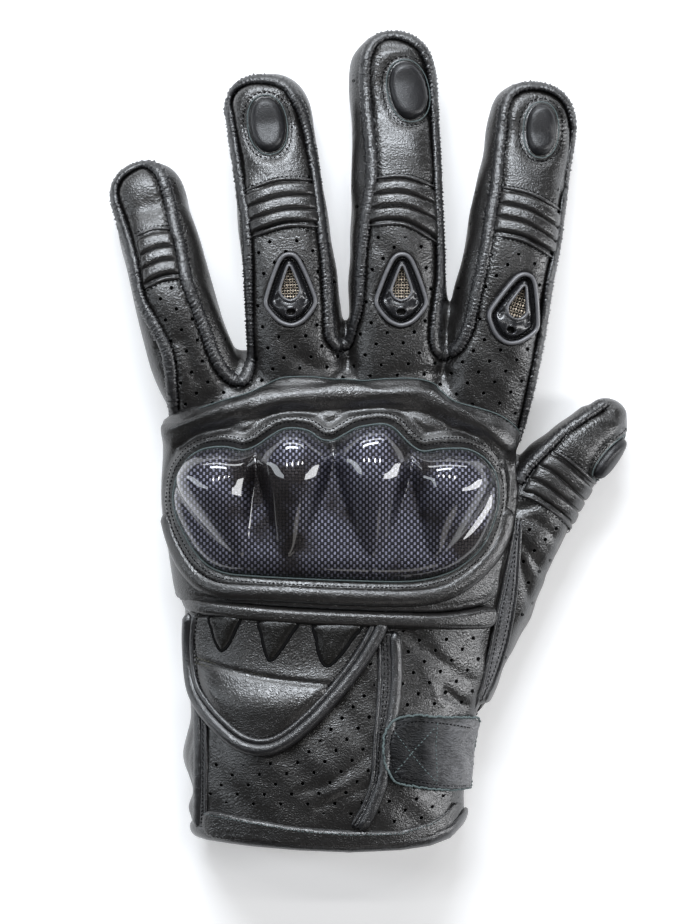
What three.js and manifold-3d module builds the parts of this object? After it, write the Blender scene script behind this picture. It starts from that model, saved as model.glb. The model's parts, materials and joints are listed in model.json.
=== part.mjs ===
// A short motorcycle glove for the left hand, lying palm down: a hollow leather shell with four
// fingers, a thumb and a cuff, dressed with ribbed panels, padded tips, finger vents, a padded
// knuckle panel under a hard domed shield, a wrist flap, bindings and a wrist strap.
// Millimetres. X points to the thumb side, Y to the fingertips, Z up from the palm to the back.

import * as THREE from "three";
import { mergeVertices } from "three/addons/utils/BufferGeometryUtils.js";
import Module from "manifold-3d";

const wasm = await Module();
wasm.setup();

// Driving dimensions

const handLength = 145.5; // hem to the webs between the fingers
const palmWidth = 106.5;
const palmHeight = 35;
const wall = 2; // leather with its lining
const seamGap = 0.3; // between pieces that meet
const sideSeamHeight = 14; // seam between the back of the hand and the palm
const knuckleAlong = 0.928; // where the fingers leave the hand, as a share of its length
const bandAlong = 0.488; // where the cuff meets the back of the hand, under the band
const hemWidth = 4.6; // binding at the mouth of the cuff
const hemSwell = 1.2; // how far the binding stands proud of the cuff
const floorSag = 1.2; // how much of the palm's round underside the floor flattens
const handShift = -9.4; // brings the middle of the whole glove to X = 0

const panelThickness = 2; // knuckle panel, a second leather over foam
const rollWidth = 3.4; // padded roll round the shield
const rollOffset = 2.6;
const rollThickness = 2;
const bandThickness = 3.2; // folded edge of the back over the wrist
const flapThickness = 3;
const pipingWidth = 2.6;
const pipingThickness = 4;
const dartThickness = 1.1;
const stripThickness = 1.6;
const strapThickness = 3.4; // the strap's outside above the cuff, where it crosses a strip

const shieldWidth = 93.3;
const shieldLength = 46.2;
const shieldRise = 11.5;
const shieldFlange = 1.8;
const shieldWall = 2.2;

const ventWidth = 16;
const ventLength = 22.5;
const ventThickness = 2.8;
const ventHoleWidth = 6.4;
const ventHoleLength = 10.5;
const ventHoleForward = 2.6; // from the middle of the vent towards the fingertip
const ventLowest = 0.3; // how far down the digit's side a vent reaches, as a share of its half height
const wireThickness = 0.6;
const wireMargin = 1; // how far the wire cloth runs on under the vent's frame

const padRise = 2.3;
const ribRise = 1.3;
const ribBase = 0.7;

// Each finger: its root across the hand as a share of half the palm's width, then sizes in mm,
// lean in degrees and sideways bow in mm.
const fingers = {
  little: { rootAcross: -0.752, length: 73.8, width: 23.7, height: 20, lean: 15.6, bow: -1.2 },
  ring: { rootAcross: -0.205, length: 98.9, width: 27, height: 21.5, lean: 7.15, bow: 0.5 },
  middle: { rootAcross: 0.318, length: 111, width: 27.4, height: 22, lean: 0.9, bow: 0.8 },
  index: { rootAcross: 0.803, length: 96.8, width: 27.2, height: 21.5, lean: -9.8, bow: 0.4 },
};

// How every finger swells, thins and arches: shares of its length, width, height and height.
const fingerRows = [
  { along: -0.12, width: 0.9, height: 0.94, lift: 0.8 },
  { along: 0.1, width: 1.05, height: 1.05, lift: 0.9 },
  { along: 0.3, width: 1.05, height: 1.02, lift: 0.93 },
  { along: 0.48, width: 1.02, height: 1.04, lift: 0.88 },
  { along: 0.62, width: 0.98, height: 0.98, lift: 0.76 },
  { along: 0.74, width: 0.94, height: 0.95, lift: 0.62 },
];
const tipLift = 0.47;
const tipDome = 0.57; // length of the rounded tip, as a share of the finger's width
const domeSteps = [0.4, 0.74, 0.94];
const domePower = 2.4;

// The thumb leaves the side of the hand: shares of half the palm's width, the hand's length,
// and of the thumb's own width and height.
const thumb = { width: 24.6, height: 23 };
const thumbRows = [
  { across: 0.74, along: 0.31, width: 0.45, height: 0.8, lift: 0.6 },
  { across: 0.8, along: 0.4, width: 0.66, height: 0.92, lift: 0.56 },
  { across: 0.875, along: 0.515, width: 0.94, height: 1.04, lift: 0.54 },
  { across: 1.015, along: 0.643, width: 1.0, height: 1.06, lift: 0.55 },
  { across: 1.175, along: 0.757, width: 0.97, height: 1.0, lift: 0.53 },
  { across: 1.375, along: 0.84, width: 0.84, height: 0.94, lift: 0.49 },
  { across: 1.535, along: 0.895, width: 0.66, height: 0.82, lift: 0.45 },
];
const thumbDome = 0.28;

// The hand and cuff from the hem to the front of the knuckles: shares of the hand's length, half
// the palm's width, the palm's width and the palm's height.
const handRows = [
  { along: 0.0, across: -0.062, width: 0.755, height: 1.1 },
  { along: 0.2, across: -0.066, width: 0.782, height: 1.12 },
  { along: 0.4, across: 0.0, width: 0.85, height: 1.03 },
  { along: 0.6, across: 0.012, width: 0.935, height: 1.02 },
  { along: 0.72, across: 0.0, width: 0.97, height: 1.0 },
  { along: 0.84, across: 0.016, width: 0.975, height: 0.97 },
  { along: 0.93, across: 0.018, width: 1.0, height: 0.88 },
  { along: 0.99, across: 0.016, width: 0.985, height: 0.76 },
  { along: 1.03, across: 0.04, width: 0.86, height: 0.62 },
];
const frontRow = { along: 1.055, across: 0.08, width: 0.62, height: 0.42 };
const frontLift = 0.14; // how far the web lifts off the floor, as a share of the palm's height
const waistShare = 0.45; // height of the widest line, as a share of the section's height
const backRound = 2.3; // power of the section's rounded back
const palmRound = 3.4; // and of its flatter palm

// Outlines on the back of the glove: shares of half the palm's width and of the hand's length.
const panelFront = [
  { across: -1.02, along: 0.895 },
  { across: -0.79, along: 0.913 },
  { across: -0.51, along: 0.942 },
  { across: -0.31, along: 0.967 },
  { across: 0.0, along: 0.972 },
  { across: 0.49, along: 0.963 },
  { across: 0.65, along: 0.928 },
  { across: 0.84, along: 0.901 },
  { across: 1.03, along: 0.845 },
];
const panelRight = [
  { across: 1.02, along: 0.701 },
  { across: 0.96, along: 0.608 },
  { across: 0.88, along: 0.51 },
];
const panelLeft = [
  { across: -0.98, along: 0.51 },
  { across: -1.1, along: 0.722 },
];
const bandFront = [
  { across: 0.9, along: 0.515 },
  { across: 0.56, along: 0.501 },
  { across: -0.11, along: 0.505 },
  { across: -0.56, along: 0.515 },
  { across: -0.99, along: 0.528 },
];
const bandRear = [
  { across: -0.99, along: 0.493 },
  { across: -0.56, along: 0.472 },
  { across: -0.23, along: 0.462 },
  { across: 0.06, along: 0.456 },
  { across: 0.56, along: 0.454 },
  { across: 0.9, along: 0.462 },
];
const flapEdge = [
  { across: 0.21, along: 0.48 },
  { across: 0.19, along: 0.445 },
  { across: 0.1, along: 0.386 },
  { across: 0.01, along: 0.33 },
  { across: -0.1, along: 0.287 },
  { across: -0.22, along: 0.252 },
  { across: -0.34, along: 0.225 },
  { across: -0.47, along: 0.216 },
  { across: -0.61, along: 0.237 },
  { across: -0.71, along: 0.278 },
  { across: -0.77, along: 0.33 },
  { across: -0.81, along: 0.392 },
  { across: -0.82, along: 0.499 },
];
const darts = {
  outer: { across: -0.625, along: 0.44, halfWidth: 0.075, length: 0.054 },
  middle: { across: -0.36, along: 0.434, halfWidth: 0.085, length: 0.06 },
  inner: { across: -0.03, along: 0.43, halfWidth: 0.09, length: 0.06 },
};
// A dart's tongue: shares of its half width and length.
const dartTongue = [
  { side: -1, forward: 1 },
  { side: -0.6, forward: 0 },
  { side: 0, forward: -0.5 },
  { side: 0.75, forward: 0 },
  { side: 1, forward: 1 },
];
const thumbStrip = [
  { across: 0.275, along: 0.5, halfWidth: 0.045 },
  { across: 0.265, along: 0.309, halfWidth: 0.045 },
  { across: 0.225, along: 0.175, halfWidth: 0.04 },
  { across: 0.145, along: 0.02, halfWidth: 0.045 },
];
const outerStrip = [
  { across: -0.79, along: 0.35, halfWidth: 0.045 },
  { across: -0.79, along: 0.17, halfWidth: 0.045 },
  { across: -0.79, along: 0.02, halfWidth: 0.045 },
];
const strapOutline = [
  { across: 0.22, along: 0.206 },
  { across: 0.25, along: 0.247 },
  { across: 0.34, along: 0.274 },
  { across: 0.56, along: 0.276 },
  { across: 0.78, along: 0.26 },
  { across: 0.96, along: 0.247 },
  { across: 0.96, along: 0.095 },
  { across: 0.71, along: 0.109 },
  { across: 0.56, along: 0.12 },
  { across: 0.34, along: 0.138 },
  { across: 0.25, along: 0.163 },
];
const strapLowest = 0.25; // where the strap meets the side seam, as a share of the palm's height

// The shield's outline in columns, and its four domes: shares of half its width and length.
const shieldCentre = { across: -0.02, along: 0.713 };
const shieldColumns = [
  { across: -1.0, front: 0.05, rear: 0.05 },
  { across: -0.98, front: 0.3, rear: -0.14 },
  { across: -0.94, front: 0.52, rear: -0.34 },
  { across: -0.88, front: 0.64, rear: -0.57 },
  { across: -0.8, front: 0.7, rear: -0.78 },
  { across: -0.7, front: 0.72, rear: -0.88 },
  { across: -0.59, front: 0.68, rear: -0.9 },
  { across: -0.43, front: 0.83, rear: -0.93 },
  { across: -0.33, front: 0.94, rear: -0.94 },
  { across: -0.25, front: 0.95, rear: -0.95 },
  { across: -0.05, front: 0.81, rear: -0.96 },
  { across: 0.02, front: 0.83, rear: -0.97 },
  { across: 0.1, front: 0.92, rear: -0.97 },
  { across: 0.19, front: 0.98, rear: -0.98 },
  { across: 0.29, front: 1.0, rear: -0.99 },
  { across: 0.38, front: 0.92, rear: -1.0 },
  { across: 0.46, front: 0.74, rear: -0.99 },
  { across: 0.54, front: 0.66, rear: -0.97 },
  { across: 0.63, front: 0.69, rear: -0.92 },
  { across: 0.73, front: 0.7, rear: -0.84 },
  { across: 0.83, front: 0.69, rear: -0.7 },
  { across: 0.91, front: 0.6, rear: -0.51 },
  { across: 0.97, front: 0.44, rear: -0.25 },
  { across: 1.0, front: 0.1, rear: 0.1 },
];
const shieldDomes = [
  { across: -0.71, front: 0.3 },
  { across: -0.27, front: 0.5 },
  { across: 0.24, front: 0.55 },
  { across: 0.7, front: 0.28 },
];
const domeHalfWidth = 0.235;
const domeFoot = -0.72; // where the domes run out towards the wrist
const domeShare = 0.5; // the part of the rise that is dome and not plateau
const domeTaper = 0.6; // power by which a dome narrows towards its foot
const domeRun = 0.8; // share of a dome's length over which it gains its full height
const rimRun = 0.4; // share of the way from the rim to the ridge line over which the rim rises
const shieldLevels = [0, 0.08, 0.2, 0.36, 0.56, 0.78, 1]; // from the rim to the ridge line
const hollowLevels = [0, 0.25, 1];
const ridgeShare = 0.85; // length of the ridge line, as a share of the width

// Ribbed panels, tip pads and vents: shares of each digit's length and half width, mm and degrees.
const ribs = {
  little: { from: 0.52, to: 0.7, count: 3, left: -0.86, right: 0.6 },
  ring: { from: 0.53, to: 0.65, count: 3, left: -0.84, right: 0.8 },
  middle: { from: 0.455, to: 0.58, count: 3, left: -0.6, right: 0.86 },
  index: { from: 0.5, to: 0.63, count: 3, left: -0.7, right: 0.9 },
  thumb: { from: 0.65, to: 0.765, count: 3, left: -0.7, right: 0.9 },
};
const pads = {
  ring: { along: 0.843, across: -0.05, halfWidth: 5.4, halfLength: 8.4 },
  middle: { along: 0.835, across: 0.33, halfWidth: 5.6, halfLength: 8.8 },
  index: { along: 0.856, across: 0.3, halfWidth: 5.2, halfLength: 7.7 },
  thumb: { along: 0.867, across: 0.8, halfWidth: 5, halfLength: 8 },
};
const vents = {
  ring: { along: 0.33, across: -0.03, turn: 0 },
  middle: { along: 0.292, across: 0.09, turn: 0 },
  index: { along: 0.292, across: 0.33, turn: -12 },
};

const leather = new THREE.MeshStandardMaterial({ color: 0x2b2b2e, roughness: 0.55, metalness: 0 });
const smoothLeather = new THREE.MeshStandardMaterial({ color: 0x38383c, roughness: 0.42, metalness: 0 });
const binding = new THREE.MeshStandardMaterial({ color: 0x303035, roughness: 0.48, metalness: 0 });
const carbon = new THREE.MeshStandardMaterial({ color: 0x16161d, roughness: 0.1, metalness: 0 });
const ventPlastic = new THREE.MeshStandardMaterial({ color: 0x18181a, roughness: 0.32, metalness: 0 });
const wire = new THREE.MeshStandardMaterial({ color: 0xb8ad9c, roughness: 0.4, metalness: 0.7 });
const strapLeather = new THREE.MeshStandardMaterial({ color: 0x3a3a3e, roughness: 0.6, metalness: 0 });

// Solids and cuts

function solid(geometry) {
  const bare = geometry.index ? geometry.toNonIndexed() : geometry.clone();
  bare.deleteAttribute("normal");
  bare.deleteAttribute("uv");
  const merged = mergeVertices(bare, 1e-4);
  const mesh = new wasm.Mesh({
    numProp: 3,
    vertProperties: merged.attributes.position.array,
    triVerts: new Uint32Array(merged.index.array),
  });
  return new wasm.Manifold(mesh);
}

const union = (solids) => solids.reduce((joined, next) => joined.add(next));
const cut = (from, ...tools) => tools.reduce((left, tool) => left.subtract(tool), from);

const far = 400; // larger than the glove, for half spaces
const skyHeight = 90; // above everything on the back of the glove

function block(low, high) {
  const size = new THREE.Vector3().subVectors(high, low);
  const box = new THREE.BoxGeometry(size.x, size.y, size.z);
  box.translate(...new THREE.Vector3().addVectors(low, high).multiplyScalar(0.5).toArray());
  return solid(box);
}

const above = (height) =>
  block(new THREE.Vector3(-far, -far, height), new THREE.Vector3(far, far, far));
const below = (height) =>
  block(new THREE.Vector3(-far, -far, -far), new THREE.Vector3(far, far, height));
const between = (lowY, highY) =>
  block(new THREE.Vector3(-far, lowY, -far), new THREE.Vector3(far, highY, far));

// A skin through rings of points, with a fan over each end unless the ends close by themselves.
function skin(rings, fans = true) {
  const around = rings[0].length;
  const points = rings.flat();
  const faces = [];
  for (let ring = 0; ring + 1 < rings.length; ring++) {
    for (let k = 0; k < around; k++) {
      const here = ring * around + k;
      const beside = ring * around + ((k + 1) % around);
      faces.push(here, beside + around, beside, here, here + around, beside + around);
    }
  }
  for (const ring of fans ? [0, rings.length - 1] : []) {
    const centre = points.length;
    const middle = new THREE.Vector3();
    rings[ring].forEach((point) => middle.addScaledVector(point, 1 / around));
    points.push(middle);
    for (let k = 0; k < around; k++) {
      const here = ring * around + k;
      const beside = ring * around + ((k + 1) % around);
      faces.push(...(ring ? [beside, here, centre] : [here, beside, centre]));
    }
  }
  return solid(new THREE.BufferGeometry().setFromPoints(points).setIndex(faces));
}

// Places in plan

const onHand = ({ across, along }) =>
  new THREE.Vector2(handShift + (across * palmWidth) / 2, hemY + along * handLength);

const hemY = -(knuckleAlong * handLength + fingers.middle.length) / 2;
const bandY = hemY + bandAlong * handLength;
const hemTopY = hemY + hemWidth;

// A line drawn smoothly through rows of a table.
const smooth = (rows, steps = 2) =>
  new THREE.SplineCurve(rows.map(onHand)).getPoints(steps * (rows.length - 1));

// Moves every point of a closed outline outwards, whichever way round it runs.
function widen(outline, distance) {
  const turn = THREE.ShapeUtils.area(outline) > 0 ? 1 : -1;
  return outline.map((point, index) => {
    const before = outline[(index + outline.length - 1) % outline.length];
    const after = outline[(index + 1) % outline.length];
    const along = new THREE.Vector2().subVectors(after, before).normalize();
    return new THREE.Vector2(point.x + turn * distance * along.y, point.y - turn * distance * along.x);
  });
}

// The outline of a strip with a width at each row.
function stripOutline(rows) {
  const side = (sign) =>
    smooth(rows.map((row) => ({ across: row.across + sign * row.halfWidth, along: row.along })));
  return [...side(-1), ...side(1).reverse()];
}

function prism(outline, lowZ = -1) {
  const geometry = new THREE.ExtrudeGeometry(new THREE.Shape(outline), {
    depth: skyHeight - lowZ,
    bevelEnabled: false,
  });
  return solid(geometry.translate(0, 0, lowZ));
}

// Digits: four fingers and the thumb, as sections from the root to the start of the round tip

function fingerDigit(finger) {
  const lean = THREE.MathUtils.degToRad(finger.lean);
  const forward = new THREE.Vector2(-Math.sin(lean), Math.cos(lean));
  const side = new THREE.Vector2(Math.cos(lean), Math.sin(lean));
  const root = onHand({ across: finger.rootAcross, along: knuckleAlong });
  const domeLength = tipDome * finger.width;
  const shoulder = {
    ...fingerRows[fingerRows.length - 1],
    along: 1 - domeLength / finger.length,
    lift: tipLift,
  };
  const sections = [...fingerRows, shoulder].map((row) => ({
    along: row.along,
    centre: root
      .clone()
      .addScaledVector(forward, row.along * finger.length)
      .addScaledVector(side, finger.bow * Math.sin(Math.PI * row.along)),
    side,
    halfWidth: (row.width * finger.width) / 2,
    half: (row.height * finger.height) / 2,
    lift: row.lift * finger.height,
  }));
  return { sections, domeLength };
}

function thumbDigit() {
  const centres = thumbRows.map(onHand);
  const sections = thumbRows.map((row, index) => {
    const before = centres[Math.max(0, index - 1)];
    const after = centres[Math.min(centres.length - 1, index + 1)];
    const forward = new THREE.Vector2().subVectors(after, before).normalize();
    return {
      along: row.along,
      centre: centres[index],
      side: new THREE.Vector2(forward.y, -forward.x),
      halfWidth: (row.width * thumb.width) / 2,
      half: (row.height * thumb.height) / 2,
      lift: row.lift * thumb.height,
    };
  });
  return { sections, domeLength: thumbDome * thumb.width };
}

const digits = {
  little: fingerDigit(fingers.little),
  ring: fingerDigit(fingers.ring),
  middle: fingerDigit(fingers.middle),
  index: fingerDigit(fingers.index),
  thumb: thumbDigit(),
};

// The section of a digit between two rows of its table.
function sectionAt({ sections }, along) {
  const found = sections.findIndex((section) => section.along >= along);
  const next = found < 0 ? sections.length - 1 : Math.max(1, found);
  const [low, high] = [sections[next - 1], sections[next]];
  const share = (along - low.along) / (high.along - low.along);
  return {
    centre: low.centre.clone().lerp(high.centre, share),
    side: low.side.clone().lerp(high.side, share).normalize(),
    halfWidth: THREE.MathUtils.lerp(low.halfWidth, high.halfWidth, share),
    half: THREE.MathUtils.lerp(low.half, high.half, share),
    lift: THREE.MathUtils.lerp(low.lift, high.lift, share),
  };
}

// Envelopes: the outer skin of each part of the hand, grown or shrunk by a distance

const power = (value, exponent) => Math.sign(value) * Math.abs(value) ** exponent;
const fingerSides = 14;
const handSides = 24;

function ovalRing({ centre, side, halfWidth, top, bottom, lift }, count, topPower = 2, bottomPower = 2) {
  return Array.from({ length: count }, (_, k) => {
    const angle = (2 * Math.PI * k) / count;
    const upper = Math.sin(angle) >= 0;
    const round = upper ? topPower : bottomPower;
    const sideways = halfWidth * power(Math.cos(angle), 2 / round);
    const height = (upper ? top : bottom) * power(Math.sin(angle), 2 / round);
    return new THREE.Vector3(centre.x + side.x * sideways, centre.y + side.y * sideways, lift + height);
  });
}

function digitRing(section, grow, shrink = 1, advance = 0) {
  const forward = new THREE.Vector2(-section.side.y, section.side.x);
  const half = shrink * (section.half + grow);
  return ovalRing(
    {
      centre: section.centre.clone().addScaledVector(forward, advance),
      side: section.side,
      halfWidth: shrink * (section.halfWidth + grow),
      top: half,
      bottom: half,
      lift: section.lift,
    },
    fingerSides,
  );
}

function digitEnvelope({ sections, domeLength }, grow) {
  const last = sections[sections.length - 1];
  const dome = domeSteps.map((step) =>
    digitRing(last, grow, (1 - step ** domePower) ** (1 / domePower), step * (domeLength + grow)),
  );
  return skin([...sections.map((section) => digitRing(section, grow)), ...dome]);
}

function handRing(row, grow, lift = 0, advance = 0) {
  const height = row.height * palmHeight;
  const section = {
    centre: onHand(row).add(new THREE.Vector2(0, advance)),
    side: new THREE.Vector2(1, 0),
    halfWidth: (row.width * palmWidth) / 2 + grow,
    top: height * (1 - waistShare) + grow,
    bottom: height * waistShare + floorSag + grow - lift,
    lift: height * waistShare + lift,
  };
  return ovalRing(section, handSides, backRound, palmRound);
}

// The floor trims the palm flat, and an inner skin keeps the wall's thickness above it.
function handEnvelope(grow, mouth = 0) {
  const rings = handRows.map((row, index) => handRing(row, grow, 0, index ? 0 : -mouth));
  rings.push(handRing(frontRow, grow, frontLift * palmHeight, grow));
  return skin(rings).intersect(above(Math.max(0, -grow)));
}

// The hand with its four fingers.
const backEnvelope = (grow) =>
  union([
    handEnvelope(grow),
    ...Object.keys(fingers).map((name) => digitEnvelope(digits[name], grow)),
  ]);

// A column's value between two rows of a table.
function rowValue(rows, along, column) {
  const next = Math.max(1, rows.findIndex((row) => row.along >= along));
  const [low, high] = [rows[next - 1], rows[next]];
  return THREE.MathUtils.lerp(low[column], high[column], (along - low.along) / (high.along - low.along));
}

// Height of the back of the hand's envelope above the floor.
function backHeight(point, grow) {
  const along = (point.y - hemY) / handLength;
  const height = rowValue(handRows, along, "height") * palmHeight;
  const halfWidth = (rowValue(handRows, along, "width") * palmWidth) / 2 + grow;
  const centre = onHand({ across: rowValue(handRows, along, "across"), along }).x;
  const share = Math.min(1, Math.abs(point.x - centre) / halfWidth);
  const top = height * (1 - waistShare) + grow;
  return height * waistShare + top * (1 - share ** backRound) ** (1 / backRound);
}

// Leather shell

const hollow = cut(
  handEnvelope(0),
  handEnvelope(-wall, wall),
  ...Object.values(digits).map((digit) => digitEnvelope(digit, -wall)),
);
const cuffShell = () => hollow.intersect(between(hemTopY + seamGap, bandY));
const handShell = () => hollow.intersect(between(bandY + seamGap, far));
const handBack = () => handShell().intersect(above(sideSeamHeight + seamGap / 2));
const palm = () => handShell().intersect(below(sideSeamHeight - seamGap / 2));

function hemBinding() {
  return handEnvelope(hemSwell).subtract(handEnvelope(-wall, wall)).intersect(between(hemY, hemTopY));
}

// A stall opens into the hand and gives way to the hand and to the neighbour before it.
function stall(digit, neighbour) {
  const tube = cut(digitEnvelope(digit, 0), digitEnvelope(digit, -wall), handEnvelope(seamGap));
  const trimmed = neighbour ? tube.subtract(digitEnvelope(neighbour, seamGap)) : tube;
  return trimmed.intersect(above(0));
}

// Layers on the back

// A layer that follows an envelope inside a plan outline, from its seat to its outside.
function layer(envelope, outline, seat, thickness, lowest = sideSeamHeight) {
  return prism(outline, lowest).intersect(envelope(seat + thickness)).subtract(envelope(seat));
}

const bandOutline = [...smooth(bandFront), ...smooth(bandRear)];
const bandRoom = prism(widen(bandOutline, seamGap));
const hemRoom = between(-far, hemTopY + seamGap);
const wristSide = between(-far, bandY);
const thumbRoom = digitEnvelope(digits.thumb, seamGap);

function knucklePanel() {
  const outline = [...smooth(panelFront), ...smooth(panelRight), ...smooth(panelLeft)];
  return cut(layer(backEnvelope, outline, seamGap, panelThickness), bandRoom, thumbRoom);
}

const backBand = () => layer(handEnvelope, bandOutline, seamGap, bandThickness).subtract(thumbRoom);

const flapOutline = smooth(flapEdge);
const pipingOutline = widen(flapOutline, seamGap + pipingWidth);

const wristFlap = () =>
  layer(handEnvelope, flapOutline, seamGap, flapThickness).subtract(bandRoom).intersect(wristSide);

function flapPiping() {
  const inside = prism(widen(flapOutline, seamGap));
  const round = layer(handEnvelope, pipingOutline, seamGap, pipingThickness).intersect(wristSide);
  return cut(round, inside, bandRoom);
}

function flapDart({ across, along, halfWidth, length }) {
  const outline = smooth(
    dartTongue.map((point) => ({
      across: across + point.side * halfWidth,
      along: along + point.forward * length,
    })),
  );
  const seat = seamGap + flapThickness + seamGap;
  return layer(handEnvelope, outline, seat, dartThickness).subtract(bandRoom).intersect(wristSide);
}

function strip(rows) {
  const flapRoom = prism(widen(pipingOutline, seamGap));
  const sheet = layer(handEnvelope, stripOutline(rows), seamGap, stripThickness).intersect(wristSide);
  return cut(sheet, bandRoom, hemRoom, flapRoom);
}

function wristStrap() {
  const outline = smooth([...strapOutline, strapOutline[0]]).slice(1);
  const crossing = prism(widen(stripOutline(thumbStrip), seamGap)).intersect(
    handEnvelope(seamGap + stripThickness + seamGap),
  );
  const lowest = strapLowest * palmHeight;
  return layer(handEnvelope, outline, seamGap, strapThickness, lowest).subtract(crossing);
}

// Shield: a thin moulded shell with four domes over the knuckles, hollow underneath

const shieldPoint = (across, along) =>
  onHand(shieldCentre).add(new THREE.Vector2((across * shieldWidth) / 2, (along * shieldLength) / 2));

// One loop of the shield's grid: front edge from left to right, then the rear edge back.
function shieldLoop(level) {
  const place = (column, edge) => {
    const middle = (column.front + column.rear) / 2;
    return {
      across: column.across * THREE.MathUtils.lerp(1, ridgeShare, level),
      along: THREE.MathUtils.lerp(edge, middle, level),
      level,
    };
  };
  const front = shieldColumns.map((column) => place(column, column.front));
  const rear = shieldColumns.slice(1, -1).map((column) => place(column, column.rear));
  return [...front, ...rear.reverse()];
}

// Rise of the shield over its seat.
function shieldHeight({ across, along, level }) {
  const edge = THREE.MathUtils.smoothstep(level, 0, rimRun);
  const domes = shieldDomes.map((dome) => {
    const reached = THREE.MathUtils.clamp((along - domeFoot) / (dome.front - domeFoot), 0.02, 1);
    const share = Math.min(1, Math.abs(across - dome.across) / (domeHalfWidth * reached ** domeTaper));
    return THREE.MathUtils.smoothstep(reached, 0, domeRun) * (0.5 + 0.5 * Math.cos(Math.PI * share));
  });
  const full = shieldRise - shieldFlange;
  return shieldFlange + edge * full * (1 - domeShare + domeShare * Math.max(...domes));
}

function knuckleShield() {
  const seat = seamGap + panelThickness + seamGap;
  const ring = (level, rise) =>
    shieldLoop(level).map((place) => {
      const point = shieldPoint(place.across, place.along);
      return new THREE.Vector3(point.x, point.y, backHeight(point, seat) + rise(place));
    });
  const inside = (place) => Math.max(0, shieldHeight(place) - shieldWall);
  const under = hollowLevels.map((level) => ring(level, inside)).reverse();
  const over = shieldLevels.map((level) => ring(level, shieldHeight));
  return skin([...under, ...over], false);
}

// The padded roll round the sides and the wrist edge of the shield.
function shieldRoll() {
  const everySecond = shieldLoop(0).filter((place, index) => index % 2 === 0);
  const outline = everySecond.map((place) => shieldPoint(place.across, place.along));
  const seat = seamGap + panelThickness + seamGap;
  const outside = widen(outline, rollOffset + rollWidth);
  const rear = between(-far, onHand(shieldCentre).y + 0.2 * shieldLength);
  const inside = prism(widen(outline, rollOffset));
  const padding = layer(handEnvelope, outside, seat, rollThickness).intersect(rear);
  return cut(padding, inside, bandRoom, thumbRoom);
}

// Trim on the digits

// The place and the outward direction of a point on the upper side of a digit.
function onDigit(digit, { along, across }) {
  const section = sectionAt(digit, along);
  const tilt = Math.asin(across);
  const forward = new THREE.Vector3(-section.side.y, section.side.x, 0);
  const side = new THREE.Vector3(section.side.x, section.side.y, 0);
  const up = new THREE.Vector3(0, 0, 1);
  const point = new THREE.Vector3(section.centre.x, section.centre.y, section.lift)
    .addScaledVector(side, section.halfWidth * Math.sin(tilt))
    .addScaledVector(up, section.half * Math.cos(tilt));
  const out = side.clone().multiplyScalar(Math.sin(tilt)).addScaledVector(up, Math.cos(tilt));
  return { point, out, forward, sideways: new THREE.Vector3().crossVectors(forward, out) };
}

function tipPad(digit, pad) {
  const { point, out, forward, sideways } = onDigit(digit, pad);
  const frame = new THREE.Matrix4().makeBasis(sideways, forward, out).setPosition(point);
  const lens = new THREE.SphereGeometry(1, 10, 6);
  lens.scale(pad.halfWidth, padRise, pad.halfLength).rotateX(Math.PI / 2).applyMatrix4(frame);
  return solid(lens).subtract(digitEnvelope(digit, seamGap));
}

// Ribs that cross the upper side of a digit, like a small bellows.
function ribbedPanel(digit, { from, to, count, left, right }) {
  const profile = [
    { at: 0, rise: 0 },
    { at: 0.3, rise: ribRise },
    { at: 0.7, rise: ribRise },
  ];
  const rings = [];
  for (let rib = 0; rib < count; rib++) {
    for (const { at, rise } of profile) {
      const along = THREE.MathUtils.lerp(from, to, (rib + at) / count);
      rings.push(digitRing(sectionAt(digit, along), seamGap + ribBase + rise));
    }
  }
  rings.push(digitRing(sectionAt(digit, to), seamGap + ribBase));
  const corner = (along, share) => {
    const section = sectionAt(digit, along);
    return section.centre.clone().addScaledVector(section.side, share * section.halfWidth);
  };
  const ends = [from - (to - from), to + (to - from)];
  const outline = [
    corner(ends[0], left),
    corner(ends[0], right),
    corner(ends[1], right),
    corner(ends[1], left),
  ];
  const upper = prism(outline, sectionAt(digit, to).lift);
  const handRoom = handEnvelope(seamGap + panelThickness + seamGap + rollThickness + seamGap);
  return cut(skin(rings).intersect(upper), digitEnvelope(digit, seamGap), handRoom);
}

// A drop with its point towards the fingertip, about its own middle.
function dropOutline(width, length) {
  const steps = 16;
  const sharpness = 0.8;
  const raw = Array.from({ length: steps }, (_, k) => {
    const angle = (2 * Math.PI * k) / steps;
    return new THREE.Vector2(Math.sin(angle) * Math.sin(angle / 2) ** sharpness, Math.cos(angle));
  });
  const widest = Math.max(...raw.map((point) => point.x));
  return raw.map((point) => new THREE.Vector2((point.x / widest) * (width / 2), point.y * (length / 2)));
}

function ventPlan(digit, { along, across, turn }) {
  const section = sectionAt(digit, along);
  const centre = section.centre.clone().addScaledVector(section.side, across * section.halfWidth);
  const angle = section.side.angle() + THREE.MathUtils.degToRad(turn);
  const place = (outline, forwardShift = 0) =>
    outline.map((point) =>
      new THREE.Vector2(point.x, point.y + forwardShift).rotateAround(new THREE.Vector2(), angle).add(centre),
    );
  return {
    frame: place(dropOutline(ventWidth, ventLength)),
    hole: place(dropOutline(ventHoleWidth, ventHoleLength), ventHoleForward),
    lowest: section.lift + ventLowest * section.half,
  };
}

function ventFrame(digit, vent) {
  const { frame, hole, lowest } = ventPlan(digit, vent);
  const envelope = (grow) => digitEnvelope(digit, grow);
  const pocket = prism(widen(hole, wireMargin + seamGap)).intersect(
    envelope(seamGap + wireThickness + seamGap),
  );
  return cut(layer(envelope, frame, seamGap, ventThickness, lowest), prism(hole), pocket);
}

function ventWire(digit, vent) {
  const { hole } = ventPlan(digit, vent);
  return layer((grow) => digitEnvelope(digit, grow), widen(hole, wireMargin), seamGap, wireThickness);
}

// The glove

const glove = new THREE.Group();

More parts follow.
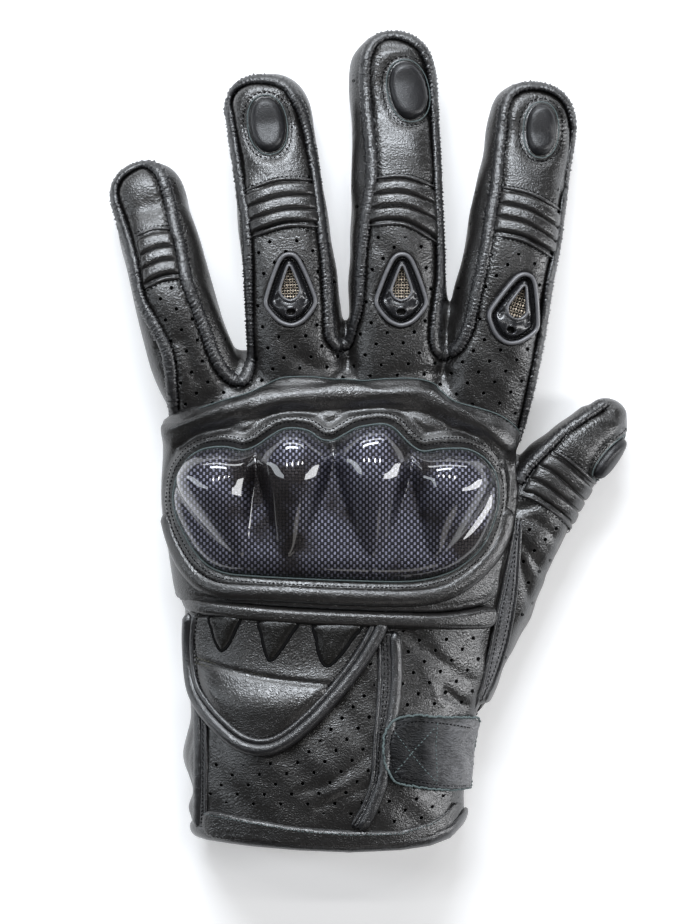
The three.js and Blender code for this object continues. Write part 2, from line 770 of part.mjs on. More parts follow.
function add(name, made, material) {
  const { numProp, vertProperties, triVerts } = made.getMesh();
  const positions = new Float32Array((vertProperties.length / numProp) * 3);
  for (let index = 0; index < positions.length / 3; index++) {
    positions.set(vertProperties.subarray(index * numProp, index * numProp + 3), index * 3);
  }
  const geometry = new THREE.BufferGeometry()
    .setAttribute("position", new THREE.BufferAttribute(positions, 3))
    .setIndex(new THREE.BufferAttribute(triVerts, 1));
  const mesh = new THREE.Mesh(geometry, material);
  mesh.name = name;
  glove.add(mesh);
}

add("hand_back", handBack(), leather);
add("palm", palm(), leather);
add("cuff", cuffShell(), leather);
add("hem_binding", hemBinding(), binding);

const neighbours = { ring: digits.little, middle: digits.ring, index: digits.middle, thumb: digits.index };
for (const [name, digit] of Object.entries(digits)) {
  add(name === "thumb" ? "thumb" : `${name}_finger`, stall(digit, neighbours[name]), leather);
  add(`${name}_ribs`, ribbedPanel(digit, ribs[name]), leather);
}
for (const [name, pad] of Object.entries(pads)) {
  add(`${name}_tip_pad`, tipPad(digits[name], pad), smoothLeather);
}
for (const [name, vent] of Object.entries(vents)) {
  add(`${name}_vent`, ventFrame(digits[name], vent), ventPlastic);
  add(`${name}_vent_wire`, ventWire(digits[name], vent), wire);
}

add("knuckle_panel", knucklePanel(), smoothLeather);
add("shield_roll", shieldRoll(), smoothLeather);
add("knuckle_shield", knuckleShield(), carbon);
add("back_band", backBand(), binding);
add("wrist_flap", wristFlap(), leather);
add("flap_piping", flapPiping(), binding);
for (const [name, dart] of Object.entries(darts)) {
  add(`flap_dart_${name}`, flapDart(dart), smoothLeather);
}
add("thumb_side_strip", strip(thumbStrip), binding);
add("outer_side_strip", strip(outerStrip), binding);
add("wrist_strap", wristStrap(), strapLeather);

export default glove;
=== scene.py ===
# Looks of a short motorcycle glove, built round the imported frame.
# The glove lies palm down: X to the thumb side, Y to the fingertips, Z up, in metres.

import json
import math

import bmesh
import bpy
import numpy as np
from mathutils import Matrix, Vector
from mathutils.bvhtree import BVHTree

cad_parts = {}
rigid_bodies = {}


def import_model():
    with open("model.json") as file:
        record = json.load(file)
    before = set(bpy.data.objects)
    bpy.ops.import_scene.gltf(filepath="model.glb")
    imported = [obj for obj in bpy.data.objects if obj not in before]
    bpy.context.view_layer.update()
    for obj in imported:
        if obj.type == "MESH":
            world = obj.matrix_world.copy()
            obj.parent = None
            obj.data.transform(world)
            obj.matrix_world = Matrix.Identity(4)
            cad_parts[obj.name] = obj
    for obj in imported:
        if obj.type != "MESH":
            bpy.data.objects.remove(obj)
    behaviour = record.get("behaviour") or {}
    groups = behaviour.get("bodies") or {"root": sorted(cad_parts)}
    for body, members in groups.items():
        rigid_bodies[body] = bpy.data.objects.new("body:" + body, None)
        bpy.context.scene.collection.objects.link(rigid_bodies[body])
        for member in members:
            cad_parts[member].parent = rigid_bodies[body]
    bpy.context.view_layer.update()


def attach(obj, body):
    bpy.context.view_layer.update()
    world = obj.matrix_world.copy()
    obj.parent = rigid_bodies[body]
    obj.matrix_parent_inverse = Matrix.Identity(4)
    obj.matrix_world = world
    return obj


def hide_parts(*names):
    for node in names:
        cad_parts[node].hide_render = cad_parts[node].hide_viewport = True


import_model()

mm = 0.001
pixel = 0.3 * mm  # one pixel of the photograph, at the glove
photoMiddle = (371.5, 440.0)  # the pixel over the frame's origin
dice = np.random.default_rng(11)


# Places and lines

def fromPhoto(points):
    # pixels of the photograph, as places on the plan in metres
    points = np.asarray(points, float)
    x = (points[:, 0] - photoMiddle[0]) * pixel
    y = (photoMiddle[1] - points[:, 1]) * pixel
    return np.stack([x, y], 1)


def smoothLine(points, steps=8, closed=False):
    # a line drawn smoothly through its points, or through the rows of a table
    points = np.asarray(points, float)
    if closed:
        padded = np.vstack([points[-1], points, points[0], points[1]])
    else:
        padded = np.vstack([2 * points[0] - points[1], points, 2 * points[-1] - points[-2]])
    share = np.linspace(0, 1, steps, endpoint=False)[:, None]
    parts = []
    for a, b, c, d in zip(padded, padded[1:], padded[2:], padded[3:]):
        curve = 2 * b + (c - a) * share + (2 * a - 5 * b + 4 * c - d) * share**2
        parts.append(0.5 * (curve + (3 * b - a - 3 * c + d) * share**3))
    line = np.vstack(parts)
    return line if closed else np.vstack([line, points[-1]])


def evenLine(points, spacing, closed=False):
    # the same line with points an even distance apart
    points = np.asarray(points, float)
    if closed:
        points = np.vstack([points, points[0]])
    reach = np.concatenate([[0], np.cumsum(np.linalg.norm(np.diff(points, axis=0), axis=1))])
    count = max(2, int(round(reach[-1] / spacing)) + 1)
    places = np.linspace(0, reach[-1], count)
    line = np.stack([np.interp(places, reach, column) for column in points.T], 1)
    return line[:-1] if closed else line


def leftOf(line, closed=False):
    # the unit direction to the left of a plan line, at each point
    if closed:
        ahead = np.roll(line, -1, 0) - np.roll(line, 1, 0)
    else:
        ahead = np.gradient(line, axis=0)
    ahead /= np.linalg.norm(ahead, axis=1)[:, None] + 1e-12
    return np.stack([-ahead[:, 1], ahead[:, 0]], 1)


def lineDistance(places, line, closed=True):
    # distance from each place to a line, and the nearest point of the line
    ends = np.roll(line, -1, 0) if closed else line[1:]
    starts = line if closed else line[:-1]
    away = np.empty(len(places))
    nearest = np.empty((len(places), 2))
    for low in range(0, len(places), 4000):
        part = places[low:low + 4000]
        span = ends - starts
        reach = ((part[:, None] - starts) * span).sum(2) / ((span**2).sum(1) + 1e-18)
        found = starts + np.clip(reach, 0, 1)[:, :, None] * span
        gaps = np.linalg.norm(part[:, None] - found, axis=2)
        best = gaps.argmin(1)
        away[low:low + 4000] = gaps[np.arange(len(part)), best]
        nearest[low:low + 4000] = found[np.arange(len(part)), best]
    return away, nearest


def isInside(places, outline):
    # True for the places inside a closed outline
    ends = np.roll(outline, -1, 0)
    inside = np.zeros(len(places), bool)
    for (x1, y1), (x2, y2) in zip(outline, ends):
        crosses = (y1 > places[:, 1]) != (y2 > places[:, 1])
        at = x1 + (places[:, 1] - y1) * (x2 - x1) / (y2 - y1 if y2 != y1 else 1e-12)
        inside ^= crosses & (places[:, 0] < at)
    return inside


def step(value, low, high):
    share = np.clip((value - low) / (high - low), 0, 1)
    return share * share * (3 - 2 * share)


def hump(value, middle, half):
    # a smooth bump of height 1 round the middle
    return np.exp(-((value - middle) / half) ** 2)


def blurred(field, times):
    # a field smoothed over its neighbours, with its border repeated
    for _ in range(times):
        wide = np.pad(field, [(1, 1), (1, 1)] + [(0, 0)] * (field.ndim - 2), mode="edge")
        field = (wide[1:-1, 1:-1] * 4 + wide[:-2, 1:-1] + wide[2:, 1:-1] + wide[1:-1, :-2] + wide[1:-1, 2:]) / 8
    return field


def lookUp(field, spot):
    # a field read between its rows and columns
    spot = np.clip(spot, 0, np.array(field.shape[:2]) - 1.001)
    low = spot.astype(int)
    u, v = (spot - low).T[:, :, None]
    i, j = low.T
    lower = field[i, j] * (1 - u) + field[i + 1, j] * u
    upper = field[i, j + 1] * (1 - u) + field[i + 1, j + 1] * u
    return lower * (1 - v) + upper * v


def unit(vectors):
    return vectors / (np.linalg.norm(vectors, axis=-1, keepdims=True) + 1e-12)


def turned(x, y, degrees):
    # plan places turned round the origin
    angle = math.radians(degrees)
    c, s = math.cos(angle), math.sin(angle)
    return np.stack([x * c - y * s, x * s + y * c], 1)


# Meshes

def finished(bm, name, material=None, smooth=True):
    mesh = bpy.data.meshes.new(name)
    bm.to_mesh(mesh)
    bm.free()
    mesh.polygons.foreach_set("use_smooth", np.full(len(mesh.polygons), smooth))
    made = bpy.data.objects.new(name, mesh)
    bpy.context.scene.collection.objects.link(made)
    if material:
        mesh.materials.append(material)
    return made


def withModifiers(made):
    # the piece's mesh with its modifiers applied
    graph = bpy.context.evaluated_depsgraph_get()
    mesh = bpy.data.meshes.new_from_object(made.evaluated_get(graph))
    made.modifiers.clear()
    made.data = mesh
    return made


def bentGrid(bm, across, along, place, joined=False):
    # a flat grid carried by place(u, v), with u and v from 0 to 1, and closed round u if it is a tube
    before = set(bm.verts)
    bmesh.ops.create_grid(bm, x_segments=across, y_segments=along, size=0.5)
    verts = [v for v in bm.verts if v not in before]
    flat = np.array([v.co for v in verts])[:, :2] + 0.5
    for vert, spot in zip(verts, place(flat[:, 0], flat[:, 1])):
        vert.co = spot
    if joined:
        bmesh.ops.remove_doubles(bm, verts=verts, dist=2e-6)
    return [v for v in verts if v.is_valid]


def coordsOf(mesh, what="vertices"):
    values = np.empty(len(mesh.vertices) * 3)
    if what == "vertices":
        mesh.vertices.foreach_get("co", values)
    else:
        mesh.vertex_normals.foreach_get("vector", values)
    return values.reshape(-1, 3)


def faceUp(made):
    # an open sheet has no inside, so its faces are turned to look up
    mesh = made.data
    if sum(p.normal.z * p.area for p in mesh.polygons) < 0:
        mesh.flip_normals()


def closedPiece(bm, name, material):
    bmesh.ops.recalc_face_normals(bm, faces=bm.faces)
    return finished(bm, name, material)


def walled(made, thickness):
    # an open sheet given a wall below it
    faceUp(made)
    wall = made.modifiers.new("wall", "SOLIDIFY")
    wall.thickness, wall.offset = thickness, -1
    return withModifiers(made)


def settle(made, slot=None, *nodes, fill=None):
    # the piece moves with the one body, and stands for the nodes named
    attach(made, "root")
    if nodes:
        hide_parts(*nodes)


# Limbs: tubes of oval sections, for the hand and each digit

class Limb:
    # A place on it is the distance round from the top line, towards its side, and along the middle line.
    def __init__(self, rows, topPower, bottomPower):
        self.rows = np.asarray(rows, float)  # x, y, lift, sideX, sideY, halfWidth, top, bottom
        self.powers = (topPower, bottomPower)
        steps = np.linalg.norm(np.diff(self.rows[:, :2], axis=0), axis=1)
        self.along = np.concatenate([[0], np.cumsum(steps)])
        angles = np.radians(np.linspace(-60, 240, 601))
        self.arcs = np.linspace(-70 * mm, 70 * mm, 561)
        self.table = np.empty((len(self.rows), len(self.arcs)))
        for index, row in enumerate(self.rows):
            ring = self.point(np.repeat(row[None], len(angles), 0), angles)
            arc = np.concatenate([[0], np.cumsum(np.linalg.norm(np.diff(ring, axis=0), axis=1))])
            arc = np.interp(np.pi / 2, angles, arc) - arc
            self.table[index] = np.interp(self.arcs, arc[::-1], angles[::-1])

    def point(self, row, angle):
        turn, rise = np.cos(angle), np.sin(angle)
        power = 2 / np.where(rise >= 0, *self.powers)
        sideways = row[:, 5] * np.sign(turn) * np.abs(turn) ** power
        height = np.where(rise >= 0, row[:, 6], row[:, 7]) * np.sign(rise) * np.abs(rise) ** power
        x = row[:, 0] + row[:, 3] * sideways
        y = row[:, 1] + row[:, 4] * sideways
        return np.stack([x, y, row[:, 2] + height], 1)

    def rowAt(self, along):
        place = np.interp(along, self.along, np.arange(len(self.along)))
        low = np.clip(place.astype(int), 0, len(self.rows) - 2)
        return low, place - low

    def at(self, round_, along):
        low, share = self.rowAt(along)
        spot = np.clip((round_ - self.arcs[0]) / (self.arcs[1] - self.arcs[0]), 0, len(self.arcs) - 1.001)
        column = spot.astype(int)
        part = spot - column
        first = self.table[low, column] * (1 - part) + self.table[low, column + 1] * part
        second = self.table[low + 1, column] * (1 - part) + self.table[low + 1, column + 1] * part
        angle = first * (1 - share) + second * share
        row = self.rows[low] * (1 - share)[:, None] + self.rows[low + 1] * share[:, None]
        return self.point(row, angle)

    def unroll(self, places, drop=0.0):
        # plan places on the upper side, as distances round and along; drop goes on past the widest line
        found = []
        drops = np.broadcast_to(drop, len(places))
        forward = np.stack([-self.rows[:, 4], self.rows[:, 3]], 1)
        for spot, further in zip(places, drops):
            ahead = -((spot - self.rows[:, :2]) * forward).sum(1)
            along = np.interp(0, ahead, self.along)
            low, share = self.rowAt(np.array([along]))
            row = self.rows[low[0]] * (1 - share[0]) + self.rows[low[0] + 1] * share[0]
            sideways = float((spot - row[:2]) @ row[3:5]) / row[5]
            turn = min(1.0, abs(sideways)) ** (self.powers[0] / 2)
            angle = math.acos(math.copysign(turn, sideways))
            arcs = self.table[low[0]] * (1 - share[0]) + self.table[low[0] + 1] * share[0]
            round_ = np.interp(angle, arcs[::-1], self.arcs[::-1])
            found.append([round_ + math.copysign(further, sideways), along])
        return np.array(found)

    def loft(self, bm, around):
        # the closed tube, with its open ends filled
        rows = self.rows
        count = len(rows) - 1

        def place(u, v):
            low = np.clip((v * count).round().astype(int), 0, count)
            return self.point(rows[low], 2 * np.pi * u)

        verts = bentGrid(bm, around, count, place, joined=True)
        ends = [e for e in bm.edges if e.is_boundary]
        bmesh.ops.holes_fill(bm, edges=ends)
        return verts


# Sizes of the hand, as in the frame: millimetres, and shares of them in the tables

hand = {
    "length": 145.5,
    "width": 106.5,
    "height": 35.0,
    "wall": 2.0,
    "hemY": -123.0,
    "shift": -9.4,
    "sag": 1.2,  # what the floor flattens
    "waist": 0.45,  # height of the widest line
    "root": 0.928,  # where the fingers leave the hand
}
handRows = [  # along, across, width, height
    (0.0, -0.062, 0.755, 1.1),
    (0.2, -0.066, 0.782, 1.12),
    (0.4, 0.0, 0.85, 1.03),
    (0.6, 0.012, 0.935, 1.02),
    (0.72, 0.0, 0.97, 1.0),
    (0.84, 0.016, 0.975, 0.97),
    (0.93, 0.018, 1.0, 0.88),
    (0.99, 0.016, 0.985, 0.74),
    (1.03, 0.04, 0.88, 0.56),
]
fingers = {  # root across, length, width, height, lean, bow
    "little": (-0.752, 73.8, 23.7, 20.0, 15.6, -1.2),
    "ring": (-0.205, 98.9, 27.0, 21.5, 7.15, 0.5),
    "middle": (0.318, 111.0, 27.4, 22.0, 0.9, 0.8),
    "index": (0.803, 96.8, 27.2, 21.5, -9.8, 0.4),
}
fingerRows = [  # along, width, height, lift
    (-0.12, 0.9, 0.94, 0.8),
    (0.1, 1.05, 1.05, 0.9),
    (0.3, 1.05, 1.02, 0.93),
    (0.48, 1.02, 1.04, 0.88),
    (0.62, 0.98, 0.98, 0.76),
    (0.74, 0.95, 0.95, 0.62),
]
tip = {"lift": 0.47, "dome": 0.57, "power": 2.5, "steps": 14}
thumb = {"width": 24.6, "height": 23.0, "dome": 0.17}
thumbRows = [  # across, along, width, height, lift
    (0.74, 0.31, 0.45, 0.8, 0.6),
    (0.8, 0.4, 0.66, 0.92, 0.56),
    (0.875, 0.515, 0.94, 1.04, 0.54),
    (1.015, 0.643, 1.0, 1.06, 0.55),
    (1.175, 0.757, 0.97, 1.0, 0.53),
    (1.385, 0.838, 0.79, 0.94, 0.49),
    (1.488, 0.882, 0.63, 0.82, 0.45),
    (1.52, 0.903, 0.46, 0.66, 0.43),
]
sectionPowers = {"finger": (2.6, 2.3), "hand": (2.4, 3.4)}


def onHand(across, along):
    return np.array([hand["shift"] + across * hand["width"] / 2, hand["hemY"] + along * hand["length"]])


def withTip(rows, domeLength, power=tip["power"]):
    # the rows of a digit, with a round end after the last
    last = rows[-1]
    forward = np.array([-last[4], last[3]])
    ends = []
    for share in np.sin(np.linspace(0, np.pi / 2, tip["steps"]))[1:]:
        shrink = max(0.02, (1 - share**power)) ** (1 / power)
        row = last.copy()
        row[:2] += forward * share * domeLength
        row[5:] *= shrink
        ends.append(row)
    return np.vstack([rows, ends])


def fingerLimb(name, grow=0.0):
    rootAcross, length, width, height, lean, bow = fingers[name]
    angle = math.radians(lean)
    forward = np.array([-math.sin(angle), math.cos(angle)])
    side = np.array([math.cos(angle), math.sin(angle)])
    start = onHand(rootAcross, hand["root"])
    dome = tip["dome"] * width
    table = fingerRows + [(1 - dome / length, *fingerRows[-1][1:3], tip["lift"])]
    rows = []
    for along, widthShare, heightShare, lift in table:
        middle = start + forward * along * length + side * bow * math.sin(math.pi * along)
        half = heightShare * height / 2 + grow
        rows.append([*middle, lift * height, *side, widthShare * width / 2 + grow, half, half])
    rows = withTip(smoothLine(rows, 9), dome + grow)
    rows[:, [0, 1, 2, 5, 6, 7]] *= mm
    return Limb(rows, *sectionPowers["finger"])


def thumbLimb(grow=0.0):
    middles = np.array([onHand(row[0], row[1]) for row in thumbRows])
    forward = np.gradient(smoothLine(middles, 9), axis=0)
    forward /= np.linalg.norm(forward, axis=1)[:, None]
    rows = []
    for middle, row in zip(middles, thumbRows):
        half = row[3] * thumb["height"] / 2 + grow
        rows.append([*middle, row[4] * thumb["height"], 1, 0, row[2] * thumb["width"] / 2 + grow, half, half])
    rows = smoothLine(rows, 9)
    rows[:, 3], rows[:, 4] = forward[:, 1], -forward[:, 0]
    rows = withTip(rows, thumb["dome"] * thumb["width"] + grow, 2.0)
    rows[:, [0, 1, 2, 5, 6, 7]] *= mm
    return Limb(rows, *sectionPowers["finger"])


def handLimb(grow=0.0, mouth=0.0):
    rows = []
    for along, across, width, height in handRows:
        tall = height * hand["height"]
        x, y = onHand(across, along)
        if along == 0:
            y -= mouth
        lift = tall * hand["waist"]
        top = tall * (1 - hand["waist"]) + grow
        rows.append([x, y, lift, 1, 0, width * hand["width"] / 2 + grow, top, lift + hand["sag"] + grow])
    rows = smoothLine(rows, 12)
    rows[:, [0, 1, 2, 5, 6, 7]] *= mm
    return Limb(rows, *sectionPowers["hand"])


limbs = {name: fingerLimb(name) for name in fingers}
limbs["thumb"] = thumbLimb()
limbs["hand"] = handLimb()
hemY = hand["hemY"] * mm
print("limbs ready")


# Body: the lofts joined into one skin, smoothed, with a mouth at the hem

body = {"cell": 0.98 * mm, "liningCell": 2.6 * mm, "smoothing": 7}


def joinedSkin(name, grow, cell, smoothing, floor):
    bm = bmesh.new()
    makers = [fingerLimb(finger, grow) for finger in fingers]
    makers += [thumbLimb(grow), handLimb(grow, mouth=8.0)]
    for maker in makers:
        maker.loft(bm, 72)
    bmesh.ops.recalc_face_normals(bm, faces=bm.faces)
    made = finished(bm, name)
    remesh = made.modifiers.new("joined", "REMESH")
    remesh.mode = "VOXEL"
    remesh.voxel_size = cell
    smoother = made.modifiers.new("smoothed", "SMOOTH")
    smoother.factor = 0.5
    smoother.iterations = smoothing
    withModifiers(made)
    co = coordsOf(made.data)
    co[:, 2] = floor + np.where(co[:, 2] > floor, co[:, 2] - floor, 0)
    made.data.vertices.foreach_set("co", co.ravel())
    made.data.update()
    return made


def openMouth(made, y):
    # cuts the skin off straight at the hem
    bm = bmesh.new()
    bm.from_mesh(made.data)
    bmesh.ops.bisect_plane(bm, geom=bm.verts[:] + bm.edges[:] + bm.faces[:], plane_co=(0, y, 0),
                           plane_no=(0, -1, 0), clear_outer=True)
    bm.to_mesh(made.data)
    bm.free()


skin = joinedSkin("glove_leather", 0.0, body["cell"], body["smoothing"], 0.0)
lining = joinedSkin("lining", -hand["wall"], body["liningCell"], 2, hand["wall"] * mm)
print("skin ready", len(skin.data.polygons), len(lining.data.polygons))


def treeOf(made):
    bm = bmesh.new()
    bm.from_mesh(made.data)
    tree = BVHTree.FromBMesh(bm)
    bm.free()
    return tree


skinTree = treeOf(skin)


class Plan:
    # the view from above, as a limb whose places are x and y
    height = 60 * mm

    def at(self, x, y):
        return np.stack([x, y, np.full(len(x), self.height)], 1)


class StiffSeat:
    # A seat for a hard piece: the seat under it, mostly flattened to a plane.
    def __init__(self, seat, outline, follow):
        self.seat, self.follow = seat, follow
        points = seat.on(outline)
        table = np.column_stack([outline, np.ones(len(outline))])
        self.plane = np.linalg.lstsq(table, points[:, 2], rcond=None)[0]
        self.normal = np.array([-self.plane[0], -self.plane[1], 1.0])
        self.normal /= np.linalg.norm(self.normal)

    def on(self, places, height=0.0):
        flat = np.column_stack([places, places @ self.plane[:2] + self.plane[2]])
        point = flat * (1 - self.follow) + self.seat.on(places) * self.follow
        return point + self.normal * np.reshape(height, (-1, 1))

    def facing(self, places):
        return np.tile(self.normal, (len(places), 1))


class Seat:
    # The skin under a stretch of a limb, smoothed, so that a layer can lie on it.
    def __init__(self, limb, low, high, cell, blur, reach, onSkin=True, missed=0.0, most=1.0):
        self.low, self.cell = np.array(low, float), cell
        counts = np.ceil((np.array(high) - self.low) / cell).astype(int) + 1
        first = self.low[0] + cell * np.arange(counts[0])
        second = self.low[1] + cell * np.arange(counts[1])
        u, v = np.meshgrid(first, second, indexing="ij")
        points = limb.at(u.ravel(), v.ravel())
        if isinstance(limb, Plan):
            normals = np.tile([0.0, 0.0, 1.0], (len(points), 1))
        else:
            little = 0.3 * mm
            round_ = limb.at(u.ravel() + little, v.ravel()) - limb.at(u.ravel() - little, v.ravel())
            ahead = limb.at(u.ravel(), v.ravel() + little) - limb.at(u.ravel(), v.ravel() - little)
            normals = unit(np.cross(round_, ahead))
        if onSkin:
            rises = np.empty(len(points))
            for index, (point, normal) in enumerate(zip(points, normals)):
                start = Vector(point + normal * reach)
                hit = skinTree.ray_cast(start, Vector(-normal), 2.5 * reach)
                rises[index] = np.nan if hit[0] is None else reach - hit[3]
            rises = np.minimum(np.where(np.isnan(rises), missed, rises), most).reshape(u.shape)
            points = points + normals * blurred(rises, blur).reshape(-1, 1)
        self.points = points.reshape(*u.shape, 3)
        facing = np.cross(np.gradient(self.points, axis=0), np.gradient(self.points, axis=1))
        self.normals = unit(blurred(unit(facing), 2))

    def look(self, field, places):
        return lookUp(field, (places - self.low) / self.cell)

    def on(self, places, height=0.0):
        normal = self.look(self.normals, places)
        return self.look(self.points, places) + normal * np.reshape(height, (-1, 1))

    def facing(self, places):
        return self.look(self.normals, places)


planLow, planHigh = (-82 * mm, -126 * mm), (82 * mm, 126 * mm)
above = Seat(Plan(), planLow, planHigh, 0.6 * mm, 5, 60 * mm, missed=-49 * mm)
handArc = limbs["hand"]
onBack = Seat(handArc, (-62 * mm, 0.4 * mm), (62 * mm, 148 * mm), 0.8 * mm, 8, 12 * mm, most=2.5 * mm)
print("seats ready")


def offsetLoop(loop, distance):
    # a closed plan line moved outwards
    area = 0.5 * np.sum(loop[:, 0] * np.roll(loop[:, 1], -1) - np.roll(loop[:, 0], -1) * loop[:, 1])
    return loop - np.sign(area) * distance * leftOf(loop, closed=True)


# Layers, ropes and stitches that lie on a seat

def cutLayer(bm, seat, outline, cell, heightAt, holes=(), sink=0.4 * mm):
    # a sheet cut to an outline, standing heightAt(places, distance from the edge) over its seat
    loops = [outline, *holes]
    low, high = outline.min(0) - cell, outline.max(0) + cell
    counts = np.ceil((high - low) / cell).astype(int)
    before = set(bm.verts)
    bmesh.ops.create_grid(bm, x_segments=int(counts[0]), y_segments=int(counts[1]), size=0.5)
    verts = [v for v in bm.verts if v not in before]
    places = low + (np.array([v.co for v in verts])[:, :2] + 0.5) * counts * cell

    def edgeOf(places):
        away, nearest = lineDistance(places, loops[0])
        inside = isInside(places, loops[0])
        for loop in loops[1:]:
            gap, point = lineDistance(places, loop)
            closer = gap < away
            away, nearest = np.where(closer, gap, away), np.where(closer[:, None], point, nearest)
            inside &= ~isInside(places, loop)
        return np.where(inside, away, -away), nearest

    away, nearest = edgeOf(places)
    dropped = [v for v, gap in zip(verts, away) if gap < -0.4 * cell]
    kept = away >= -0.4 * cell
    places, nearest = places[kept], nearest[kept]
    bmesh.ops.delete(bm, geom=dropped, context="VERTS")
    verts = [v for v in verts if v.is_valid]
    strays = [v for v in verts if not v.link_faces]
    known = {v: index for index, v in enumerate(verts)}
    for index, vert in enumerate(verts):
        if any(edge.is_boundary for edge in vert.link_edges):
            places[index] = nearest[index]
    gone = [known[v] for v in strays]
    bmesh.ops.delete(bm, geom=strays, context="VERTS")
    keep = np.setdiff1d(np.arange(len(verts)), gone)
    verts, places = [verts[i] for i in keep], places[keep]
    for vert, x, y in zip(verts, *places.T):
        vert.co = (x, y, 0)
    inner = [v for v in verts if not any(e.is_boundary for e in v.link_edges)]
    for _ in range(2):
        bmesh.ops.smooth_vert(bm, verts=inner, factor=0.5, use_axis_x=True, use_axis_y=True)
    places = np.array([v.co for v in verts])[:, :2]
    away = np.maximum(edgeOf(places)[0], 0)
    spots = seat.on(places, heightAt(places, away))
    rim = [e for v in verts for e in v.link_edges if e.is_boundary]
    rim = list(dict.fromkeys(rim))
    made = bmesh.ops.extrude_edge_only(bm, edges=rim)["geom"]
    lower = [v for v in made if isinstance(v, bmesh.types.BMVert)]
    for vert in lower:
        vert.co = seat.on(np.array([vert.co])[:, :2], -sink)[0]
    for vert, spot in zip(verts, spots):
        vert.co = spot
    return verts


def layer(name, seat, outline, cell, heightAt, material, holes=(), sink=0.4 * mm, wall=0.7 * mm):
    bm = bmesh.new()
    cutLayer(bm, seat, outline, cell, heightAt, holes, sink)
    return walled(closedPiece(bm, name, material), wall)


def rolledEdge(away, thickness, radius):
    # height of a sheet whose edge is turned over
    share = np.clip(away / radius, 0, 1)
    return thickness * np.sqrt(1 - (1 - share) ** 2)


def rope(bm, points, normals, width, height, around=10, closed=False, lift=0.0, puckers=None, taper=True):
    # a roll that follows a line in space: width across, height over the line, its lower half sunk
    ahead = np.gradient(points, axis=0)
    if closed:
        ahead = np.roll(points, -1, 0) - np.roll(points, 1, 0)
    ahead = unit(ahead)
    side = unit(np.cross(ahead, normals))
    out = np.cross(side, ahead)
    count = len(points)
    rows = count if closed else count - 1
    widths, heights = np.broadcast_to(width, count), np.broadcast_to(height, count)
    swell = np.ones(count)
    if taper and not closed:
        end = np.minimum(np.arange(count), np.arange(count)[::-1])
        swell = np.sqrt(np.clip((end + 0.02) / 4, 0, 1))

    def place(u, v):
        index = (v * rows).round().astype(int) % count
        angle = 2 * np.pi * u
        bulge = swell[index]
        if puckers is not None:
            bulge = bulge * (1 + puckers(index, angle))
        sideways = np.cos(angle) * widths[index] / 2 * bulge
        rise = np.sin(angle) * heights[index] * bulge
        rise = np.where(rise < 0, rise * 0.5, rise) + lift
        return points[index] + side[index] * sideways[:, None] + out[index] * rise[:, None]

    verts = bentGrid(bm, around, rows, place, joined=True)
    if not closed:
        ends = {e for v in verts for e in v.link_edges if e.is_boundary}
        bmesh.ops.holes_fill(bm, edges=list(ends))
    return verts


def ropePiece(name, material, *args, **options):
    bm = bmesh.new()
    rope(bm, *args, **options)
    return closedPiece(bm, name, material)


def ropeOn(name, material, seat, line, width, height, around=6, rise=0.0, **options):
    # a roll along a line of its seat
    return ropePiece(name, material, seat.on(line, rise), seat.facing(line), width, height, around, **options)


threads = {"dark": bmesh.new(), "teal": bmesh.new(), "olive": bmesh.new()}


def stitchesOn(thread, seat, places, height, sizes):
    # small rounded stitches along a line; height is a number, or a function of the places
    pitch, length, thick = sizes
    places = evenLine(places, 0.6 * mm)
    points = seat.on(places, height(places) if callable(height) else height)
    normals = seat.facing(places)
    line = evenLine(points, pitch)
    facing = np.stack([np.interp(np.linspace(0, 1, len(line)), np.linspace(0, 1, len(normals)), column)
                       for column in normals.T], 1)
    size = Matrix.Diagonal((thick / 2, length / 2, thick / 2, 1))
    for spot, direction, up in zip(line, np.gradient(line, axis=0), facing):
        direction = Vector(direction).normalized()
        side = direction.cross(Vector(up).normalized()).normalized()
        turn = Matrix((side, direction, side.cross(direction))).transposed().to_4x4()
        bmesh.ops.create_icosphere(threads[thread], subdivisions=1, radius=1,
                                   matrix=Matrix.Translation(spot) @ turn @ size)


# Shader groups, built once and placed in each material with its own values

def newGroup(name, inputs, outputs):
    group = bpy.data.node_groups.new(name, "ShaderNodeTree")
    for title, kind, value in inputs:
        socket = group.interface.new_socket(name=title, in_out="INPUT", socket_type="NodeSocket" + kind)
        if value is not None:
            socket.default_value = value
    for title, kind in outputs:
        group.interface.new_socket(name=title, in_out="OUTPUT", socket_type="NodeSocket" + kind)
    return group, group.nodes.new("NodeGroupInput"), group.nodes.new("NodeGroupOutput")


